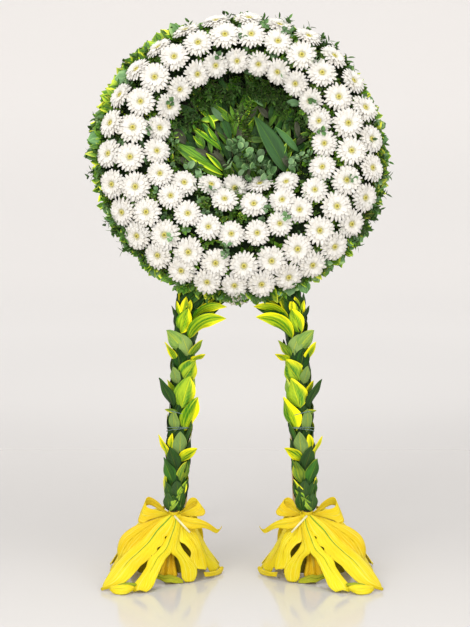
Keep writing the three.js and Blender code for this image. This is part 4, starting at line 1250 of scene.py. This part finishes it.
def foot_lobe(centre, hand, edges, arch=0.0, pleat=0.0, cuts=(), keel=False):
    """place() for a lobe of leaf between its two edges, arched away from the leg by arch mm."""
    lines = []
    for first in (0, 3):
        line = []
        for entry in edges:
            x, front, up = entry[first : first + 3]
            # The outermost lobes reach further on the right foot.
            x += (0.05 if hand > 0 else 0.10) * min(0, x + 60)
            line.append(Vector((centre.x + hand * x * MM, centre.y - front * MM, up * MM)))
        lines.append(line)

    def place(side, share):
        (outer, way), (inner, inner_way) = (curve_point(line, share) for line in lines)
        reach = 1.03 - 0.45 * max(0.0, share * 12 - 11) ** 2 if arch else 1.0
        for at, length, depth in cuts:
            reach -= 2 * depth * max(0.0, 1 - ((share - at) / length) ** 2) * (side > 0)
        spot = outer.lerp(inner, (1 + side * reach) / 2)
        normal = (inner - outer).cross(way + inner_way).normalized()
        radial = Vector((spot.x - centre.x, spot.y - centre.y, 0.04))
        normal *= -1 if normal.dot(radial) < 0 else 1
        crown = 1 - abs(side) ** 1.2 if keel else 1 - side * side
        rise = arch * crown * min(1.0, 5 * share) + pleat * math.sin(side * 9 + 1) * 0.5
        if arch:
            gathered = 1.6 * math.sin(side * 11 + 2) * (1 - share) ** 3
            rise += gathered + 0.8 * side * side * math.sin(share * 17 + side)
        spot += normal * rise * MM
        return Vector((spot.x, spot.y, max(spot.z, FLOOR_GAP + 0.002 * abs(side))))

    return place


def thicken(piece, thickness=0.0014):
    """Gives a sheet of leaf its thickness."""
    modifier = piece.modifiers.new("thickness", "SOLIDIFY")
    modifier.thickness = thickness
    modifier.offset = 0


class WREATH_OT_feet(bpy.types.Operator):
    """Dresses the feet with bows and yellow leaves"""

    bl_idname = "wreath.feet"
    bl_label = "Feet"

    def execute(self, context):
        where = stand()
        stalk = grained_material("pale_stalk", 90, (0.90, 0.84, 0.58), (0.80, 0.77, 0.40), 0.45, 0.0005)
        materials = [yellow_leaf_material(), stalk]
        twine = twine_material()
        for hand, outward in HANDS.items():
            rng = random.Random(3)
            inward = -outward
            centre = where.leg(outward) @ Vector((0, 0, where.s.tie_height))
            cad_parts[f"foot_tie_{hand}"].data.materials[0] = twine
            for part, lobes in {"front": FRONT_LOBES, "side": SIDE_LOBES, "back": BACK_LOBES}.items():
                sheaf = Sheaf()
                for turn, reach, half_width in FALLS.get(part, []):
                    form = foot_lobe(centre, inward, fall(DRAPES[part], turn, reach, half_width), 7)
                    sheaf.blade(8, 30, form, (0.5, rng.uniform(0, 0.3), rng.uniform(0.6, 0.9)), 0)
                for lobe in lobes:
                    shade = rng.uniform(0.75, 1.0)
                    tint = (lobe["green"], lobe["amber_shade"], lobe.get("shade", shade))
                    shape = {key: lobe[key] for key in LOBE_SHAPE if key in lobe}
                    sheaf.blade(16, 64, foot_lobe(centre, inward, **shape), tint, 0)
                replaced = [f"monstera_leaf_{part}_{hand}"]
                thicken(sheaf.piece(f"yellow_monstera_{part}_{hand}", materials, "yellow_leaf", replaced))

            for name, edges in BOW.items():
                sheaf = Sheaf()
                sheaf.blade(10, 72, foot_lobe(centre, inward, edges), (0.0, 0.45, 0.8), 0)
                replaced = [f"bow_loop_{name}_{hand}"] if name in ("outer", "inner") else []
                if name == "knot":
                    start = centre + Vector((inward * 0.003, -0.072, -0.018))
                    end = centre + Vector((inward * 0.057, -0.122, -0.062))
                    sheaf.rod(start, end, 0.0036, 0.0028, 8, material=1)
                thicken(sheaf.piece(f"yellow_bow_{name}_{hand}", materials, "yellow_leaf", replaced))
        return {"FINISHED"}


# A screw's head: its two radii, and how many sides it has.
SCREW_HEAD = (0.0042, 0.0036, 12)
# The screws of the stay and of the gusset: the part's face, how far they stand out of it, and
# where they are, up the leg and back from its middle.
LEG_SCREWS = [
    (0.0358, 0.0022, ((0.11, 0.0), (0.128, 0.012))),
    (0.0298, 0.0018, ((1.44, 0.0), (1.33, -0.005), (1.24, 0.0), (1.25, 0.07), (1.32, 0.05))),
]
RAIL_HEIGHTS, RAIL_FACE = (1.165, 1.715), 0.0383


class WREATH_OT_timber(bpy.types.Operator):
    """Gives the easel its wood and its screws"""

    bl_idname = "wreath.timber"
    bl_label = "Timber"

    def execute(self, context):
        s = context.scene.wreath_stand
        where = stand()
        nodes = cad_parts
        stain = {"light": (0.075, 0.058, 0.036), "dark": (0.030, 0.022, 0.014)}
        board = timber_material("stained_plywood", (0, math.pi / 2, 0), **stain)
        nodes["backing_board"].data.materials[0] = board
        rail = timber_material("rail_timber", (0, math.pi / 2, 0))
        for name in ("lower_rail", "upper_rail"):
            nodes[name].data.materials[0] = rail
        for hand, outward in HANDS.items():
            post = timber_material(f"post_timber_{hand}", (s.lean, outward * s.toe_in, 0))
            strut = timber_material(f"strut_timber_{hand}", (-0.29, outward * 0.1, 0))
            stay = timber_material(f"stay_timber_{hand}", (math.pi / 2, 0, 0))
            for name, material in (("post", post), ("strut", strut), ("side_stay", stay), ("gusset", post)):
                nodes[f"{name}_{hand}"].data.materials[0] = material

        sheaf = Sheaf()

        def screw(frame_of, place, out):
            """The head of a screw, on a part's own axes."""
            head = frame_of @ Vector(place)
            sheaf.rod(head, head + frame_of.to_3x3() @ Vector(out), *SCREW_HEAD)

        for outward in HANDS.values():
            leg = where.leg(outward)
            for side, out, spots in LEG_SCREWS:
                for up, back in spots:
                    screw(leg, (outward * side, back, up), (outward * out, 0, 0))
            for up in RAIL_HEIGHTS:
                axis = outward * (s.foot_x - up * math.tan(s.toe_in))
                for aside in (-0.01, 0.01):
                    screw(where.face, (axis + aside, RAIL_FACE, up), (0, 0.002, 0))
        sheaf.piece("easel_screws", [steel_material()], "timber")
        return {"FINISHED"}


# ---------------------------------------------------------------- studio
GROUND_WIDTH, GROUND_LENGTH, GROUND_MIDDLE = 18, 16.2, -1.8
BEND_START, BEND_RADIUS = 8.5, 2.5
WARM_WHITE = (1.0, 0.98, 0.95)
# Each lamp: its place, its size, its power and its colour.
LAMPS = {
    "key_light": ((-2.6, -4.2, 3.6), 2.6, 124, WARM_WHITE),
    "fill_light": ((3.2, -3.4, 2.4), 3.0, 58, WARM_WHITE),
    "top_light": ((0.0, 0.2, 4.8), 3.2, 45, (1.0, 0.99, 0.98)),
    "back_light": ((0.0, 4.2, 3.6), 3.0, 25, (1.0, 0.98, 0.97)),
}


def ground_place(across, along):
    """A point of the ground, which is flat and then curves up into a wall."""
    along = along * GROUND_LENGTH + GROUND_MIDDLE
    bend = max(0.0, min(math.pi / 2, (along - BEND_START) / BEND_RADIUS))
    wall = max(0.0, along - BEND_START - BEND_RADIUS * math.pi / 2)
    back = min(along, BEND_START) + BEND_RADIUS * math.sin(bend)
    return across * GROUND_WIDTH, back, BEND_RADIUS * (1 - math.cos(bend)) + wall


def set_up(name, data, place, aim):
    """Puts a lamp or a camera in its place, and turns it to what it aims at."""
    thing = bpy.data.objects.new(name, data)
    thing.location = place
    thing.rotation_euler = (Vector(aim) - thing.location).to_track_quat("-Z", "Y").to_euler()
    bpy.context.scene.collection.objects.link(thing)
    return thing


class WREATH_OT_studio(bpy.types.Operator):
    """Sets the pale ground, the soft lights and the camera"""

    bl_idname = "wreath.studio"
    bl_label = "Studio"

    def execute(self, context):
        scene = context.scene
        settings = scene.wreath_studio
        depth = scene.wreath_stand.foot_y

        bm = bmesh.new()
        grid = bmesh.ops.create_grid(bm, x_segments=8, y_segments=130, size=1)["verts"]
        for vert in grid:
            vert.co = ground_place(vert.co.x, vert.co.y)
        mesh = bpy.data.meshes.new("studio_ground")
        bm.to_mesh(mesh)
        bm.free()
        mesh.shade_smooth()
        mesh.materials.append(floor_material(settings.ground))
        ground = bpy.data.objects.new("studio_ground", mesh)
        scene.collection.objects.link(ground)

        for name, (place, size, power, colour) in LAMPS.items():
            light = bpy.data.lights.new(name, "AREA")
            light.size = size
            light.energy = power
            light.color = colour
            set_up(name, light, place, (0, 0, 1))

        world = bpy.data.worlds.new("studio")
        world.use_nodes = True
        background = world.node_tree.nodes["Background"]
        background.inputs["Color"].default_value = (1.0, 0.985, 0.97, 1)
        background.inputs["Strength"].default_value = 0.80
        scene.world = world

        lens = bpy.data.cameras.new("camera")
        lens.lens = settings.lens
        lens.sensor_width = 36
        place = (-settings.aside, depth - settings.distance, settings.height)
        scene.camera = set_up("camera", lens, place, (-settings.aside, depth, settings.aim))
        scene.view_settings.view_transform = "Standard"
        return {"FINISHED"}


class WREATH_PT_panel(bpy.types.Panel):
    """The wreath's operators, in the order that they are run"""

    bl_idname = "WREATH_PT_panel"
    bl_label = "Memorial wreath"
    bl_space_type = "VIEW_3D"
    bl_region_type = "UI"
    bl_category = "Wreath"

    def draw(self, context):
        for operator in OPERATORS:
            self.layout.operator(operator.bl_idname)


OPERATORS = [
    WREATH_OT_timber,
    WREATH_OT_gerberas,
    WREATH_OT_greenery,
    WREATH_OT_centre,
    WREATH_OT_legs,
    WREATH_OT_feet,
    WREATH_OT_studio,
]
CLASSES = [*SETTINGS.values(), *OPERATORS, WREATH_PT_panel]


def register():
    for item in CLASSES:
        bpy.utils.register_class(item)
    for name, group in SETTINGS.items():
        setattr(bpy.types.Scene, name, PointerProperty(type=group))


def unregister():
    for name in SETTINGS:
        delattr(bpy.types.Scene, name)
    for item in reversed(CLASSES):
        bpy.utils.unregister_class(item)


def main():
    register()
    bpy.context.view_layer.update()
    for operator in OPERATORS:
        group, name = operator.bl_idname.split(".")
        getattr(getattr(bpy.ops, group), name)()


if __name__ == "__main__":
    main()
